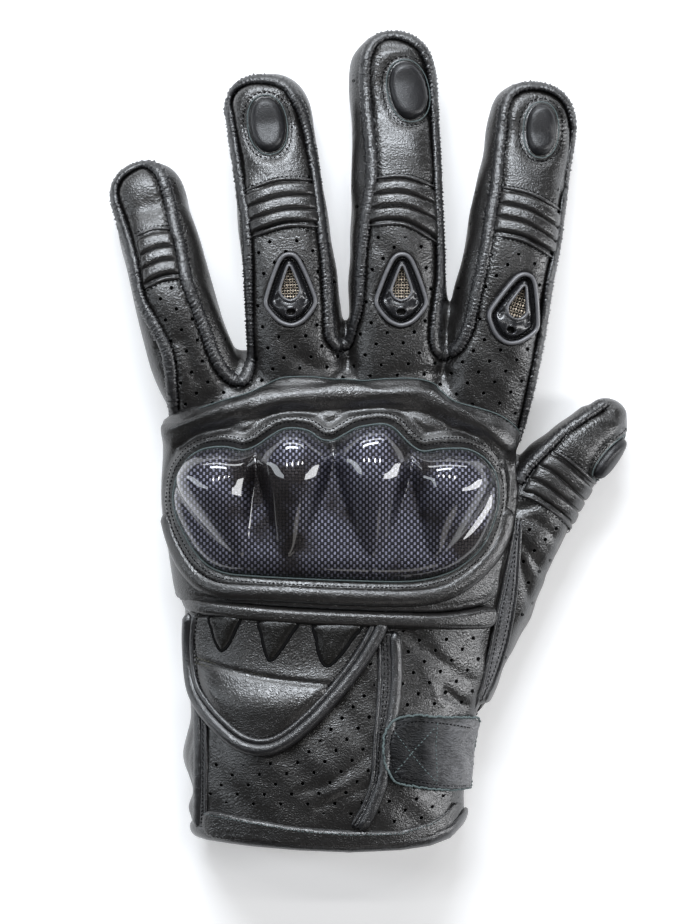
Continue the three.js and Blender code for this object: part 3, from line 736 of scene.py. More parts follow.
class Wires:
    # short calls for placing and joining nodes in one tree
    def __init__(self, tree):
        self.tree = tree

    def node(self, kind, **settings):
        made = self.tree.nodes.new("ShaderNode" + kind)
        for title, value in settings.items():
            setattr(made, title, value)
        return made

    def feed(self, socket, value):
        if isinstance(value, bpy.types.NodeSocket):
            self.tree.links.new(value, socket)
        else:
            socket.default_value = value

    def math(self, operation, first, second=0.0, third=0.0):
        made = self.node("Math", operation=operation)
        for socket, value in zip(made.inputs, (first, second, third)):
            self.feed(socket, value)
        return made.outputs[0]

    def vector(self, operation, first, second=(0, 0, 0), scale=None, out=0):
        made = self.node("VectorMath", operation=operation)
        self.feed(made.inputs[0], first)
        if scale is None:
            self.feed(made.inputs[1], second)
        else:
            self.feed(made.inputs["Scale"], scale)
        return made.outputs[out]

    def noise(self, place, scale, detail=2.0, roughness=0.5, out=0):
        made = self.node("TexNoise")
        self.feed(made.inputs["Vector"], place)
        self.feed(made.inputs["Scale"], scale)
        made.inputs["Detail"].default_value = detail
        made.inputs["Roughness"].default_value = roughness
        return made.outputs[out]

    def range(self, value, low, high, newLow=0.0, newHigh=1.0, smooth=False):
        made = self.node("MapRange", interpolation_type="SMOOTHSTEP" if smooth else "LINEAR")
        for socket, item in zip(made.inputs, (value, low, high, newLow, newHigh)):
            self.feed(socket, item)
        return made.outputs[0]

    def mix(self, share, first, second):
        made = self.node("Mix", data_type="RGBA")
        self.feed(made.inputs[0], share)
        self.feed(made.inputs[6], first)
        self.feed(made.inputs[7], second)
        return made.outputs[2]

    def bump(self, height, strength, distance, normal=None):
        made = self.node("Bump")
        made.inputs["Strength"].default_value = strength
        made.inputs["Distance"].default_value = distance
        self.feed(made.inputs["Height"], height)
        if normal is not None:
            self.feed(made.inputs["Normal"], normal)
        return made.outputs[0]

    def place(self, group, **values):
        made = self.tree.nodes.new("ShaderNodeGroup")
        made.node_tree = group
        for title, value in values.items():
            self.feed(made.inputs[title], value)
        return made


def grainGroup():
    # fine slanted creases over small pebbles
    group, entry, leave = newGroup(
        "leatherGrain",
        [("Vector", "Vector", None), ("Cell", "Float", 0.0007), ("Crease", "Float", 0.5)],
        [("Height", "Float"), ("Broad", "Float")],
    )
    w = Wires(group)
    place = entry.outputs["Vector"]
    scale = w.math("DIVIDE", 1.0, entry.outputs["Cell"])
    wander = w.noise(place, w.math("MULTIPLY", scale, 0.12), 2.0, 0.5, 1)
    wander = w.vector("SUBTRACT", wander, (0.5, 0.5, 0.5))
    wander = w.vector("SCALE", wander, scale=w.math("MULTIPLY", entry.outputs["Cell"], 5.0))
    moved = w.vector("ADD", place, wander)
    cells = w.node("TexVoronoi", feature="DISTANCE_TO_EDGE")
    w.feed(cells.inputs["Vector"], moved)
    w.feed(cells.inputs["Scale"], scale)
    pebble = w.range(cells.outputs["Distance"], 0.0, 0.35, smooth=True)
    turned = w.node("Mapping")
    w.feed(turned.inputs["Vector"], moved)
    turned.inputs["Rotation"].default_value = (0.2, 0.15, math.radians(-52))
    turned.inputs["Scale"].default_value = (1.0, 3.2, 1.0)
    slant = w.noise(turned.outputs[0], w.math("MULTIPLY", scale, 0.55), 2.0, 0.5)
    slant = w.range(slant, 0.3, 0.7)
    pebble = w.math("MULTIPLY", pebble, w.math("SUBTRACT", 1.0, entry.outputs["Crease"]))
    slant = w.math("MULTIPLY", slant, entry.outputs["Crease"])
    w.feed(leave.inputs["Height"], w.math("ADD", pebble, slant))
    w.feed(leave.inputs["Broad"], w.noise(place, w.math("MULTIPLY", scale, 0.05), 4.0, 0.6))
    return group


def holesGroup():
    # a slanted lattice of punched holes: 1 in a hole, 0 between
    group, entry, leave = newGroup(
        "punchedHoles", [("Vector", "Vector", None), ("Radius", "Float", 0.00045)], [("Mask", "Float")]
    )
    w = Wires(group)
    first, second = np.array([-3.3, -3.3]) * mm, np.array([4.8, -3.0]) * mm
    back = np.linalg.inv(np.stack([first, second], 1))
    parts = []
    for row, span in zip(back, (first, second)):
        share = w.vector("DOT_PRODUCT", entry.outputs["Vector"], (row[0], row[1], 0), out=1)
        share = w.math("SUBTRACT", w.math("FRACT", share), 0.5)
        made = w.node("VectorMath", operation="SCALE")
        made.inputs[0].default_value = (span[0], span[1], 0)
        w.feed(made.inputs["Scale"], share)
        parts.append(made.outputs[0])
    away = w.vector("LENGTH", w.vector("ADD", *parts), out=1)
    edge = w.math("MULTIPLY", entry.outputs["Radius"], 0.7)
    w.feed(leave.inputs["Mask"], w.range(away, edge, entry.outputs["Radius"], 1.0, 0.0, smooth=True))
    return group


def wearAndCreaseShadeGroup():
    # lighter where an edge stands out, as wear, and darker in the creases, as painted shade
    group, entry, leave = newGroup("edgeWearAndCreaseShade", [("Vector", "Vector", None)],
                                   [("Worn", "Float"), ("CreaseShade", "Float")])
    w = Wires(group)
    shape = w.node("NewGeometry").outputs["Pointiness"]
    worn = w.range(shape, 0.52, 0.62, smooth=True)
    worn = w.math("MULTIPLY", worn, w.range(w.noise(entry.outputs["Vector"], 900.0, 3.0), 0.35, 0.65))
    w.feed(leave.inputs["Worn"], worn)
    # darker in the creases: painted shade
    w.feed(leave.inputs["CreaseShade"], w.range(shape, 0.49, 0.4, smooth=True))
    return group


def weaveGroup():
    # plaited tows: which way a tow lies, and how it rounds
    group, entry, leave = newGroup(
        "towWeave", [("Vector", "Vector", None), ("Tow", "Float", 0.0011)],
        [("Lengthwise", "Float"), ("Height", "Float")],
    )
    w = Wires(group)
    split = w.node("SeparateXYZ")
    w.feed(split.inputs[0], w.vector("SCALE", entry.outputs["Vector"],
                                     scale=w.math("DIVIDE", 1.0, entry.outputs["Tow"])))
    across, along = split.outputs[0], split.outputs[1]
    columns, rows = w.math("FLOOR", across), w.math("FLOOR", along)
    turn = w.math("WRAP", w.math("ADD", columns, rows), 2.0, 0.0)
    lengthwise = w.math("LESS_THAN", turn, 0.5)
    centreA = w.math("ABSOLUTE", w.math("SUBTRACT", w.math("FRACT", across), 0.5))
    centreB = w.math("ABSOLUTE", w.math("SUBTRACT", w.math("FRACT", along), 0.5))
    roundA = w.math("MULTIPLY", w.range(centreA, 0.5, 0.15, smooth=True), lengthwise)
    roundB = w.math("MULTIPLY", w.range(centreB, 0.5, 0.15, smooth=True), w.math("SUBTRACT", 1.0, lengthwise))
    w.feed(leave.inputs["Lengthwise"], lengthwise)
    w.feed(leave.inputs["Height"], w.math("ADD", roundA, roundB))
    return group


grain, punched, wearAndCreaseShade, weave = grainGroup(), holesGroup(), wearAndCreaseShadeGroup(), weaveGroup()


def newMaterial(name, **plain):
    # plain values are set on the shader's own sockets
    material = bpy.data.materials.new(name)
    material.use_nodes = True
    tree = material.node_tree
    tree.nodes.clear()
    shader = tree.nodes.new("ShaderNodeBsdfPrincipled")
    leave = tree.nodes.new("ShaderNodeOutputMaterial")
    tree.links.new(shader.outputs[0], leave.inputs[0])
    for title, value in plain.items():
        shader.inputs[title].default_value = value
    w = Wires(tree)
    where = w.node("TexCoord").outputs["Object"]
    return material, w, shader, where


def leatherMaterial(name, dark, light, cell, crease, bump, roughness, wornColour, shine,
                    holed=False, paintedSideLight=None):
    # cell is the size of a pebble, crease the share of creases, and roughness runs from smooth to rubbed
    material, w, shader, where = newMaterial(name, **shine)
    grainy = w.place(grain, Vector=where, Cell=cell, Crease=crease)
    edges = w.place(wearAndCreaseShade, Vector=where)
    relief, broad = grainy.outputs["Height"], grainy.outputs["Broad"]
    tone = w.math("ADD", w.math("MULTIPLY", relief, 0.55), w.math("MULTIPLY", broad, 0.55))
    colour = w.mix(w.range(tone, 0.2, 0.95), dark, light)
    colour = w.mix(w.math("MULTIPLY", edges.outputs["Worn"], 0.45), colour, wornColour)
    # painted shade: the leather's colour darkened in its creases
    creaseShadeColour = (*(0.45 * part for part in dark[:3]), 1)
    colour = w.mix(w.math("MULTIPLY", edges.outputs["CreaseShade"], 0.7), colour, creaseShadeColour)
    uneven = w.math("ADD", w.math("MULTIPLY", broad, 0.7), w.math("MULTIPLY", relief, 0.3))
    w.feed(shader.inputs["Roughness"], w.range(uneven, 0.2, 0.8, roughness[1], roughness[0]))
    if paintedSideLight:  # painted light: lighter towards one side, where the strap turns to the light, broken up by the grain
        across = w.node("SeparateXYZ")
        w.feed(across.inputs[0], where)
        sideLightShare = w.range(across.outputs["X"], paintedSideLight[0], paintedSideLight[1])
        colour = w.mix(w.math("MULTIPLY", sideLightShare, w.range(relief, 0.0, 0.8, 0.4, 1.0)), colour, paintedSideLight[2])
    if holed:  # punched, each hole painted black as painted shade inside it, and gathered along the seams
        spread = w.node("Attribute", attribute_name="holePlace").outputs["Vector"]
        wanted = w.node("Attribute", attribute_name="perforated").outputs["Fac"]
        mask = w.place(punched, Vector=spread, Radius=0.00062).outputs["Mask"]
        mask = w.math("MULTIPLY", mask, w.range(wanted, 0.4, 0.6))
        # painted shade: each hole is coloured black, and metallic black takes away its reflection
        colour = w.mix(mask, colour, (0.0005, 0.0005, 0.0005, 1))
        w.feed(shader.inputs["Metallic"], mask)
        relief = w.math("SUBTRACT", relief, w.math("MULTIPLY", mask, 2.5))
        near = w.node("Attribute", attribute_name="seamNear").outputs["Fac"]
        run = w.node("Attribute", attribute_name="seamRun").outputs["Fac"]
        run = w.math("ADD", run, w.math("MULTIPLY", w.noise(where, 350.0, 2.0), 0.006))
        gather = w.math("SINE", w.math("MULTIPLY", run, 2 * math.pi / 0.0019))
        relief = w.math("ADD", relief, w.math("MULTIPLY", w.math("MULTIPLY", gather, near), 0.8))
    normal = w.bump(w.noise(where, 190.0, 3.0, 0.5), 0.3, 0.00032)
    w.feed(shader.inputs["Normal"], w.bump(relief, 0.9, bump, normal))
    w.feed(shader.inputs["Base Color"], colour)
    return material


glossy = {"IOR": 1.5, "Specular IOR Level": 0.85}
satin = {"IOR": 1.45, "Specular IOR Level": 0.5}
chalky = {"IOR": 1.45, "Specular IOR Level": 0.25}
softLeather = leatherMaterial(
    "soft_leather", (0.003, 0.0027, 0.0025, 1), (0.0125, 0.0114, 0.011, 1),
    0.00085, 0.45, 0.00008, (0.25, 0.35),
    (0.045, 0.045, 0.05, 1), glossy, holed=True)
smoothLeather = leatherMaterial(
    "smooth_leather", (0.0035, 0.0031, 0.0029, 1), (0.0145, 0.0133, 0.013, 1),
    0.0008, 0.45, 0.00008, (0.25, 0.34),
    (0.045, 0.045, 0.05, 1), glossy)
bindingLeather = leatherMaterial(
    "binding_leather", (0.004, 0.004, 0.0044, 1), (0.017, 0.017, 0.019, 1), 0.0007, 0.45, 0.00007, (0.25, 0.35),
    (0.06, 0.06, 0.066, 1), glossy)
buttonLeather = leatherMaterial(
    "button_leather", (0.004, 0.004, 0.0045, 1), (0.012, 0.012, 0.014, 1), 0.0006, 0.4, 0.00004, (0.3, 0.42),
    (0.05, 0.05, 0.056, 1), satin)
# darker than the flap's leather: painted shade of the recessed darts; the warm tone is the leather's own
shadedDartLeather = leatherMaterial(
    "shaded_dart_leather", (0.002, 0.0018, 0.0016, 1), (0.008, 0.0074, 0.0065, 1), 0.0007, 0.5, 0.00007, (0.24, 0.35),
    (0.03, 0.028, 0.025, 1), satin)
paleLeather = leatherMaterial(
    "pale_leather", (0.03, 0.03, 0.031, 1), (0.12, 0.12, 0.126, 1), 0.0007, 0.4, 0.00009, (0.3, 0.42),
    (0.09, 0.09, 0.095, 1), glossy)
# the strap is painted lighter towards the thumb side, as painted light
strapSuede = leatherMaterial(
    "strap_leather", (0.002, 0.0022, 0.0024, 1), (0.014, 0.0145, 0.016, 1), 0.0009, 0.8, 0.00022, (0.32, 0.52),
    (0.05, 0.06, 0.06, 1), chalky, paintedSideLight=(0.015, 0.031, (0.19, 0.19, 0.197, 1)))


def threadMaterial(name, dark, light, **plain):
    # twisted thread: slanted fine strands
    material, w, shader, where = newMaterial(name, Roughness=0.8, **plain)
    slanted = w.node("Mapping")
    w.feed(slanted.inputs["Vector"], where)
    slanted.inputs["Rotation"].default_value = (0, 0, math.radians(32))
    slanted.inputs["Scale"].default_value = (1, 5, 1)
    strands = w.noise(slanted.outputs[0], 2600.0, 2.0)
    w.feed(shader.inputs["Base Color"], w.mix(w.range(strands, 0.35, 0.65), dark, light))
    w.feed(shader.inputs["Normal"], w.bump(strands, 0.6, 0.00012))
    return material


darkThread = threadMaterial("dark_thread", (0.0008, 0.0008, 0.0009, 1), (0.004, 0.004, 0.0045, 1),
                            **{"Specular IOR Level": 0.1})
tealThread = threadMaterial("teal_thread", (0.03, 0.042, 0.044, 1), (0.13, 0.17, 0.17, 1))
oliveThread = threadMaterial("olive_thread", (0.02, 0.02, 0.012, 1), (0.085, 0.082, 0.05, 1))


def carbonMaterial():
    # plaited tows under a clear coat
    material, w, shader, where = newMaterial(
        "carbon_shell", **{"Coat Weight": 1.0, "Coat Roughness": 0.02, "Coat IOR": 1.6, "Metallic": 0.75})
    plait = w.place(weave, Vector=where, Tow=0.00095)
    strand = w.noise(w.vector("MULTIPLY", where, (1.0, 7.0, 1.0)), 1500.0, 2.0)
    tow = w.math("MULTIPLY", plait.outputs["Height"], w.range(strand, 0.25, 0.75, 0.5, 1.0))
    # painted sheen: lengthwise tows coloured light blue-grey, crosswise ones near black, as if catching the
    # light
    towSheen = w.mix(plait.outputs["Lengthwise"], (0.012, 0.012, 0.016, 1), (0.21, 0.21, 0.28, 1))
    # brown patches at random: painted reflection of the room
    withRoomReflection = w.mix(w.range(w.noise(where, 55.0, 2.0), 0.5, 0.62), towSheen, (0.022, 0.018, 0.018, 1))
    # each tow darker at its edges and lighter on its crown: painted highlight along the tow
    w.feed(shader.inputs["Base Color"], w.mix(w.range(tow, 0.1, 0.8), (0.002, 0.002, 0.004, 1), withRoomReflection))
    w.feed(shader.inputs["Roughness"], w.range(tow, 0.0, 1.0, 0.5, 0.34))
    w.feed(shader.inputs["Normal"], w.bump(tow, 0.6, 0.00016))
    return material


def mottledMaterial(name, scale, dark, light, spread, roughness,
                    relief=0.0, wornColour=None, detail=3.0, **plain):
    # a hard surface, or the floor, with fine mottling
    material, w, shader, where = newMaterial(name, **plain)
    mottle = w.noise(where, scale, detail)
    colour = w.mix(w.range(mottle, *spread), dark, light)
    if wornColour:
        colour = w.mix(w.place(wearAndCreaseShade, Vector=where).outputs["Worn"], colour, wornColour)
    w.feed(shader.inputs["Base Color"], colour)
    w.feed(shader.inputs["Roughness"], w.range(mottle, 0.3, 0.7, *roughness))
    if relief:
        w.feed(shader.inputs["Normal"], w.bump(mottle, relief, 0.00004))
    return material


def liningMaterial():
    # knitted lining inside the glove
    material, w, shader, where = newMaterial("lining_cloth", **{"Sheen Weight": 0.3, "Roughness": 0.9})
    knit = w.place(weave, Vector=where, Tow=0.0008).outputs["Height"]
    w.feed(shader.inputs["Base Color"], w.mix(knit, (0.008, 0.008, 0.009, 1), (0.03, 0.03, 0.033, 1)))
    w.feed(shader.inputs["Normal"], w.bump(knit, 0.6, 0.00025))
    return material


carbon, liningCloth = carbonMaterial(), liningMaterial()
ventPlastic = mottledMaterial(
    "vent_plastic", 1800.0, (0.008, 0.008, 0.009, 1), (0.016, 0.016, 0.018, 1), (0.3, 0.7), (0.2, 0.32),
    relief=0.2, wornColour=(0.09, 0.09, 0.1, 1), **{"Coat Weight": 0.3, "Coat Roughness": 0.15})
# a grey much lighter than the frame's plastic: painted highlight along the rims
rimHighlightPlastic = mottledMaterial(
    "rim_highlight_plastic", 1500.0, (0.07, 0.07, 0.074, 1), (0.13, 0.13, 0.14, 1), (0.0, 1.0), (0.3, 0.42),
    relief=0.2, **{"Specular IOR Level": 0.8})
ventWire = mottledMaterial(
    "vent_wire", 2500.0, (0.2, 0.16, 0.12, 1), (0.6, 0.52, 0.42, 1), (0.3, 0.7), (0.25, 0.45),
    detail=2.0, Metallic=1.0)
print("materials ready")


# Seam line of the finger tops: one crease that goes up and down every finger, with a roll outside it

seam = {
    "width": 4.0 * mm,
    "height": 1.35 * mm,
    "outward": 1.5 * mm,
    "cell": 0.42 * mm,
    "pucker": 1.45 * mm,  # from one pucker to the next
    "puckerDepth": 0.36,
    "thread": (0.7 * mm, 0.3 * mm),  # width, and how far it is sunk, of the dark rope that paints the crease's shade
}
creases = {
    "thumb": [(521, 486), (527, 475), (537, 463), (550, 450), (563, 437), (577, 426), (591, 417), (604, 408),
              (611, 404)],
    "little": [(177, 425), (177, 400), (172, 352), (155, 318), (143, 295), (137, 262), (126, 225), (117, 200),
               (116, 187), (122, 176), (132, 169), (142, 165), (150, 168), (158, 178), (162, 190), (166, 205),
               (170, 225), (176, 248), (182, 280), (193, 310), (205, 342), (212, 360), (222, 376), (238, 387)],
    "ring": [(238, 387), (248, 382), (253, 370), (253, 350), (252, 300), (251, 250), (249, 215), (245, 195),
             (241, 170), (236, 140), (232, 115), (229, 100), (236, 88), (250, 82), (265, 82), (280, 86),
             (290, 97), (298, 112), (304, 130), (309, 155), (313, 180), (316, 205), (319, 235), (322, 260),
             (324, 290), (325, 320), (327, 338), (334, 348), (343, 352)],
    "middle": [(343, 352), (351, 345), (355, 332), (360, 315), (363, 300), (364, 275), (366, 250), (368, 230),
               (372, 205), (376, 180), (376, 160), (373, 130), (370, 100), (369, 72), (372, 52), (380, 41),
               (392, 37), (406, 40), (418, 48), (425, 60), (430, 80), (432, 110), (434, 150), (435, 180),
               (436, 210), (437, 235), (438, 260), (437, 285), (434, 305), (431, 330), (432, 347), (438, 357),
               (450, 359)],
    "index": [(450, 359), (462, 349), (471, 332), (477, 310), (481, 290), (486, 270), (490, 250), (493, 230),
              (496, 210), (500, 190), (502, 170), (504, 150), (506, 130), (508, 110), (513, 96), (524, 89),
              (538, 88), (553, 92), (565, 102), (571, 118), (573, 140), (569, 170), (562, 200), (558, 230),
              (554, 250), (547, 280), (543, 310), (538, 340), (532, 370), (526, 400), (519, 430), (514, 445)],
}


def onSkin(places, outward=0.0):
    # places on the plan dropped on the skin, then moved outwards along it to the left of the line
    left = leftOf(places)
    points, normals = [], []
    for (x, y), (dx, dy) in zip(places, left):
        hit = skinTree.ray_cast(Vector((x, y, 80 * mm)), Vector((0, 0, -1)))
        if hit[0] is None:
            hit = skinTree.find_nearest(Vector((x, y, 12 * mm)))
        point, normal = hit[:2]
        away = Vector((dx, dy, 0))
        away = (away - normal * away.dot(normal)).normalized()
        hit = skinTree.find_nearest(point + away * outward)
        points.append(hit[0])
        normals.append(hit[1])
    points, normals = np.array(points), np.array(normals)
    for _ in range(6):
        points[1:-1] = (points[:-2] + 2 * points[1:-1] + points[2:]) / 4
        normals[1:-1] = (normals[:-2] + 2 * normals[1:-1] + normals[2:]) / 4
    return points, unit(normals)


def puckerOf(count, spacing, deep=seam["puckerDepth"]):
    # slanted puckers along a roll
    phase = np.cumsum(dice.uniform(0.75, 1.3, count)) * spacing / seam["pucker"] * 2 * np.pi
    depth = dice.uniform(0.4, 1.3, count)
    depth = np.convolve(depth, np.ones(5) / 5, "same") * deep

    def pucker(index, angle):
        wave = np.sin(phase[index] + 1.2 * np.cos(angle))
        return depth[index] * (1 - np.abs(wave) ** 0.6 * 1.6)

    return pucker


print("rolls")
for name, pixels in creases.items():
    line = evenLine(smoothLine(fromPhoto(pixels)), seam["cell"])
    points, normals = onSkin(line, seam["outward"])
    made = ropePiece(name + "_welt", bindingLeather, points, normals, seam["width"], seam["height"], around=14,
                     puckers=puckerOf(len(points), seam["cell"]))
    settle(made, "binding")
    # a dark rope sunk in the crease: painted shade along it
    points, normals = onSkin(line)
    width, sunk = seam["thread"]
    settle(ropePiece(name + "_crease_shade_line", darkThread, points - normals * sunk, normals, width, sunk,
                     around=6))


# Ribs: three rounds across each digit between four creases

ribs = {
    "across": 44,
    "along": 60,
    "base": -0.5 * mm,
    "rise": {"thumb": 1.5 * mm, "other": 2.0 * mm},
    "lip": 0.15,  # past the outer creases, as a share of one rib
    "lipDrop": 1.1 * mm,
    "wall": 0.5 * mm,
    "bead": (1.3 * mm, 0.8 * mm),  # width and height of the edge rolls
    "beadShift": 0.28,  # of one rib, outwards
    "stitch": np.array([1.3, 1.0, 0.34]) * mm,  # pitch, length and thickness
    "sunken": 1.5 * mm,
}
ribCreases = {
    "little": [[(137, 241), (154, 234), (172, 233)], [(140, 257), (157, 249), (175, 247)],
               [(142, 271), (160, 262), (178, 260)], [(144, 285), (162, 276), (181, 274)]],
    "ring": [[(244, 196), (279, 184), (315, 184)], [(246, 209), (281, 197), (317, 197)],
             [(249, 222), (284, 211), (319, 211)], [(251, 234), (286, 223), (321, 224)]],
    "middle": [[(373, 183), (404, 181), (436, 192)], [(371, 196), (404, 194), (437, 207)],
               [(369, 210), (404, 208), (438, 223)], [(367, 223), (404, 222), (438, 240)]],
    "index": [[(500, 191), (530, 198), (562, 216)], [(498, 204), (528, 211), (560, 231)],
              [(495, 217), (526, 225), (558, 245)], [(492, 232), (524, 238), (556, 256)]],
    "thumb": [[(549, 453), (570, 467), (592, 486)], [(538, 465), (560, 478), (584, 501)],
              [(529, 478), (552, 490), (577, 514)], [(522, 491), (545, 501), (571, 527)]],
}


sunken = []  # outlines on the plan where the skin gives way under a piece, and how far


def ribPiece(name, lines, seat):
    table = np.stack([smoothLine(line, 10) for line in lines])
    rise = ribs["rise"]["thumb" if name == "thumb" else "other"]
    count, lip = len(table) - 1, ribs["lip"]
    outer = np.stack([2 * table[0] - table[1], *table, 2 * table[-1] - table[-2]])

    def place(u, v):
        # v runs over the creases, with a short lip before the first and after the last
        level = v * (count + 2 * lip) - lip
        spots = lookUp(outer, np.stack([level + 1, u * (outer.shape[1] - 1)], 1))
        inner = np.clip(level, 0, count)
        within = np.abs(inner - np.floor(inner) - 0.5) * 2
        bulge = np.clip(1 - within**4.5, 0, 1) ** 0.6
        ends = 1 - np.abs(2 * u - 1) ** 9
        outside = np.clip(np.maximum(-level, level - count) / lip, 0, 1)
        return seat.on(spots, (ribs["base"] + rise * bulge) * ends - ribs["lipDrop"] * outside**2)

    bm = bmesh.new()
    bentGrid(bm, ribs["across"], ribs["along"], place)
    made = walled(closedPiece(bm, name + "_rib_panel", smoothLeather), ribs["wall"])
    settle(made, "leather", name + "_ribs", fill=0.7)
    bm = bmesh.new()
    for line, shift in ((table[0], -ribs["beadShift"]), (table[-1], ribs["beadShift"])):
        ahead = (table[1] - table[0]) * shift
        rope(bm, seat.on(line + ahead, 0.1 * mm), seat.facing(line), *ribs["bead"], around=8)
        stitchesOn("dark", seat, line + ahead * 1.7, 0.35 * mm, ribs["stitch"])
    settle(closedPiece(bm, name + "_rib_lips", smoothLeather))
    ring = np.vstack([table[0], table[1:-1, -1], table[-1][::-1], table[-2:0:-1, 0]])
    sunken.append((seat.on(ring)[:, :2], ribs["sunken"]))


print("ribs")
thumbSeat = Seat(limbs["thumb"], (-30 * mm, 12 * mm), (36 * mm, 99 * mm), 0.6 * mm, 5, 12 * mm)
thumbDrops = np.array([0, 0, 5]) * mm  # the thumb's ribs go on past its widest line
for name, lines in ribCreases.items():
    places = [fromPhoto(line) for line in lines]
    if name == "thumb":
        ribPiece(name, [limbs[name].unroll(line, thumbDrops) for line in places], thumbSeat)
    else:
        ribPiece(name, places, above)


# Tip pads: domed buttons in a stitched recess

pads = {  # middle, half width, half length in pixels, and turn in degrees
    "ring": ((267.5, 125), 17, 27.5, 8),
    "middle": ((408, 91), 18, 29, 12),
    "index": ((541, 130), 15, 25.5, -2),
    "thumb": ((608, 456), 12, 22, 0),
}
pad = {
    "base": 0.2 * mm,
    "rise": 1.9 * mm,
    "edge": 2.3 * mm,
    "cell": 0.5 * mm,
    "thumbDrop": 2.4 * mm,  # the thumb's button sits past its widest line
    "rim": (0.32 * mm, 0.2 * mm),
    "rimAway": 2.6,  # pixels outside the button
    "recessAway": 5,
    "stitchAway": (7, 6),
    "stitch": np.array([1.5, 1.1, 0.42]) * mm,
}


def egg(middle, halfWidth, halfLength, turn, count=48):
    # a rounded outline round a middle, with its half sizes in pixels
    angle = np.linspace(0, 2 * np.pi, count, endpoint=False)
    x, y = (np.sign(way) * np.abs(way) ** 0.9 * pixel for way in (np.cos(angle), np.sin(angle)))
    return middle + turned(x * halfWidth, y * halfLength, turn)


def padHeight(places, away):
    return rolledEdge(away, pad["rise"], pad["edge"]) + pad["base"]


print("pads")
padRings = []
for name, (middle, halfWidth, halfLength, turn) in pads.items():
    seat, centre = above, fromPhoto([middle])
    if name == "thumb":
        seat, centre = thumbSeat, limbs["thumb"].unroll(centre, pad["thumbDrop"])

    def eggAt(wider, longer, count=96):
        return egg(centre[0], halfWidth + wider, halfLength + longer, turn, count)

    made = layer(name + "_tip_button", seat, eggAt(0, 0, 48), pad["cell"], padHeight, buttonLeather)
    settle(made, "smooth_leather", name + "_tip_pad", fill=0.9)
    ring = evenLine(eggAt(pad["rimAway"], pad["rimAway"]), 0.5 * mm, closed=True)
    settle(ropeOn(name + "_button_rim", tealThread, seat, ring, *pad["rim"], rise=0.15 * mm, closed=True))
    padRings.append(seat.on(eggAt(pad["recessAway"], pad["recessAway"], 48))[:, :2])
    outer = eggAt(*pad["stitchAway"])
    stitchesOn("dark", seat, np.vstack([outer, outer[:1]]), 0.05 * mm, pad["stitch"])


# Vents: a rounded frame round a drop-shaped hole over wire cloth

ventShape = {  # half outlines in pixels from the middle, from the fingertip end to the wrist end
    "outer": [(0, -38.5), (6, -37), (11, -32), (15, -24), (20, -12), (25, 2), (27, 10), (25.5, 17), (19, 26),
              (11, 33), (0, 36.5)],
    "hole": [(0, -24), (2.4, -19.5), (5.4, -11.5), (8.2, -3.5), (8.8, 0.5), (6.9, 5), (3.5, 7.6), (0, 8.4)],
    "window": [(0, 17.5), (3, 18), (5, 21), (3, 24), (0, 24.5)],
}
vents = {"ring": ((290.5, 291.5), 2), "middle": ((401, 291.5), -1), "index": ((515, 310), -17)}
vent = {  # millimetres
    "channel": -0.5,
    "rim": (2.3, 0.7, 0.72),  # rise, distance from the edge and half width
    "body": (2.5, 2.1, 3.0),  # rise, and where it begins and ends to rise
    "dome": (1.2, 3.6, -5.0, 2.6),  # rise, half width, place along and half length
    "dent": (0.9, 4.6, 0.9, -2.6, 1.3),  # depth, place and half width across, then along
    "collar": (0.55, 0.42, 0.44),  # as the rim, round the hole
    "windowLip": (0.25, 0.5),
    "cell": 0.32,
    "sink": 1.6,
    "wall": 0.5,
    "follow": 0.3,  # how much the frame bends with the finger
    "trims": {"outer": (-0.65, 1.25, 0.8, 1.6), "hole": (0.4, 0.8, 0.5, 2.5)},  # away, width, height, lift
    "wire": 0.32,
    "wirePitch": 0.85,
    "wires": 12,  # to each side of the middle
    "wireReach": 9.0,
    "wireLift": 0.55,
    "wireWave": 0.12,
}


def ventLoop(name, middle, turn):
    # a full outline on the plan from its half
    half = np.array(ventShape[name], float)
    points = smoothLine(np.vstack([half, half[-2:0:-1] * (-1, 1)]), 6, closed=True) * pixel
    return fromPhoto([middle])[0] + turned(points[:, 0], -points[:, 1], turn)


def roundOver(value, middle, half):
    # half a circle's rise over a distance
    return np.sqrt(np.clip(1 - ((value - middle) / half) ** 2, 0, 1))


def ventHeightOf(loops, centre, turn):
    def height(places, away):
        edge, lip, small = (lineDistance(places, loops[part])[0] / mm for part in ventShape)
        x, y = turned(*(places - centre).T, -turn).T / mm
        rise, *rim = vent["rim"]
        inner, *rising = vent["body"]
        dome, domeWide, domeAt, domeLong = vent["dome"]
        dent, dentOut, dentWide, dentAt, dentLong = vent["dent"]
        collar, *collarAt = vent["collar"]
        body = inner * step(edge, *rising)
        body += dome * np.exp(-((x / domeWide) ** 2 + ((y - domeAt) / domeLong) ** 2))
        body -= dent * hump(np.abs(x), dentOut, dentWide) * hump(y, dentAt, dentLong)
        body += collar * roundOver(lip, *collarAt)
        body += vent["windowLip"][0] * np.clip(1 - small / vent["windowLip"][1], 0, 1)
        return (vent["channel"] + np.maximum(rise * roundOver(edge, *rim), body)) * mm
    return height


def wireCloth(bm, seat, hole, centre, turn):
    # woven wires across the hole
    run = np.arange(-vent["wireReach"], vent["wireReach"], 0.25)
    for direction in (0, 1):
        for index in range(-vent["wires"], vent["wires"] + 1):
            offset = np.full(len(run), index * vent["wirePitch"])
            x, y = (offset, run) if direction else (run, offset)
            spots = turned(x * mm, y * mm, turn) + centre
            near = isInside(spots, hole) | (lineDistance(spots, hole)[0] < 0.5 * mm)
            if near.sum() < 4:
                continue
            spots = spots[near]
            wave = np.sin(run[near] / vent["wirePitch"] * np.pi + direction * np.pi)
            lift = (vent["wireLift"] + vent["wireWave"] * wave) * mm
            rope(bm, seat.on(spots, lift), seat.facing(spots), vent["wire"] * mm, vent["wire"] / 2 * mm,
                 around=6, taper=False)


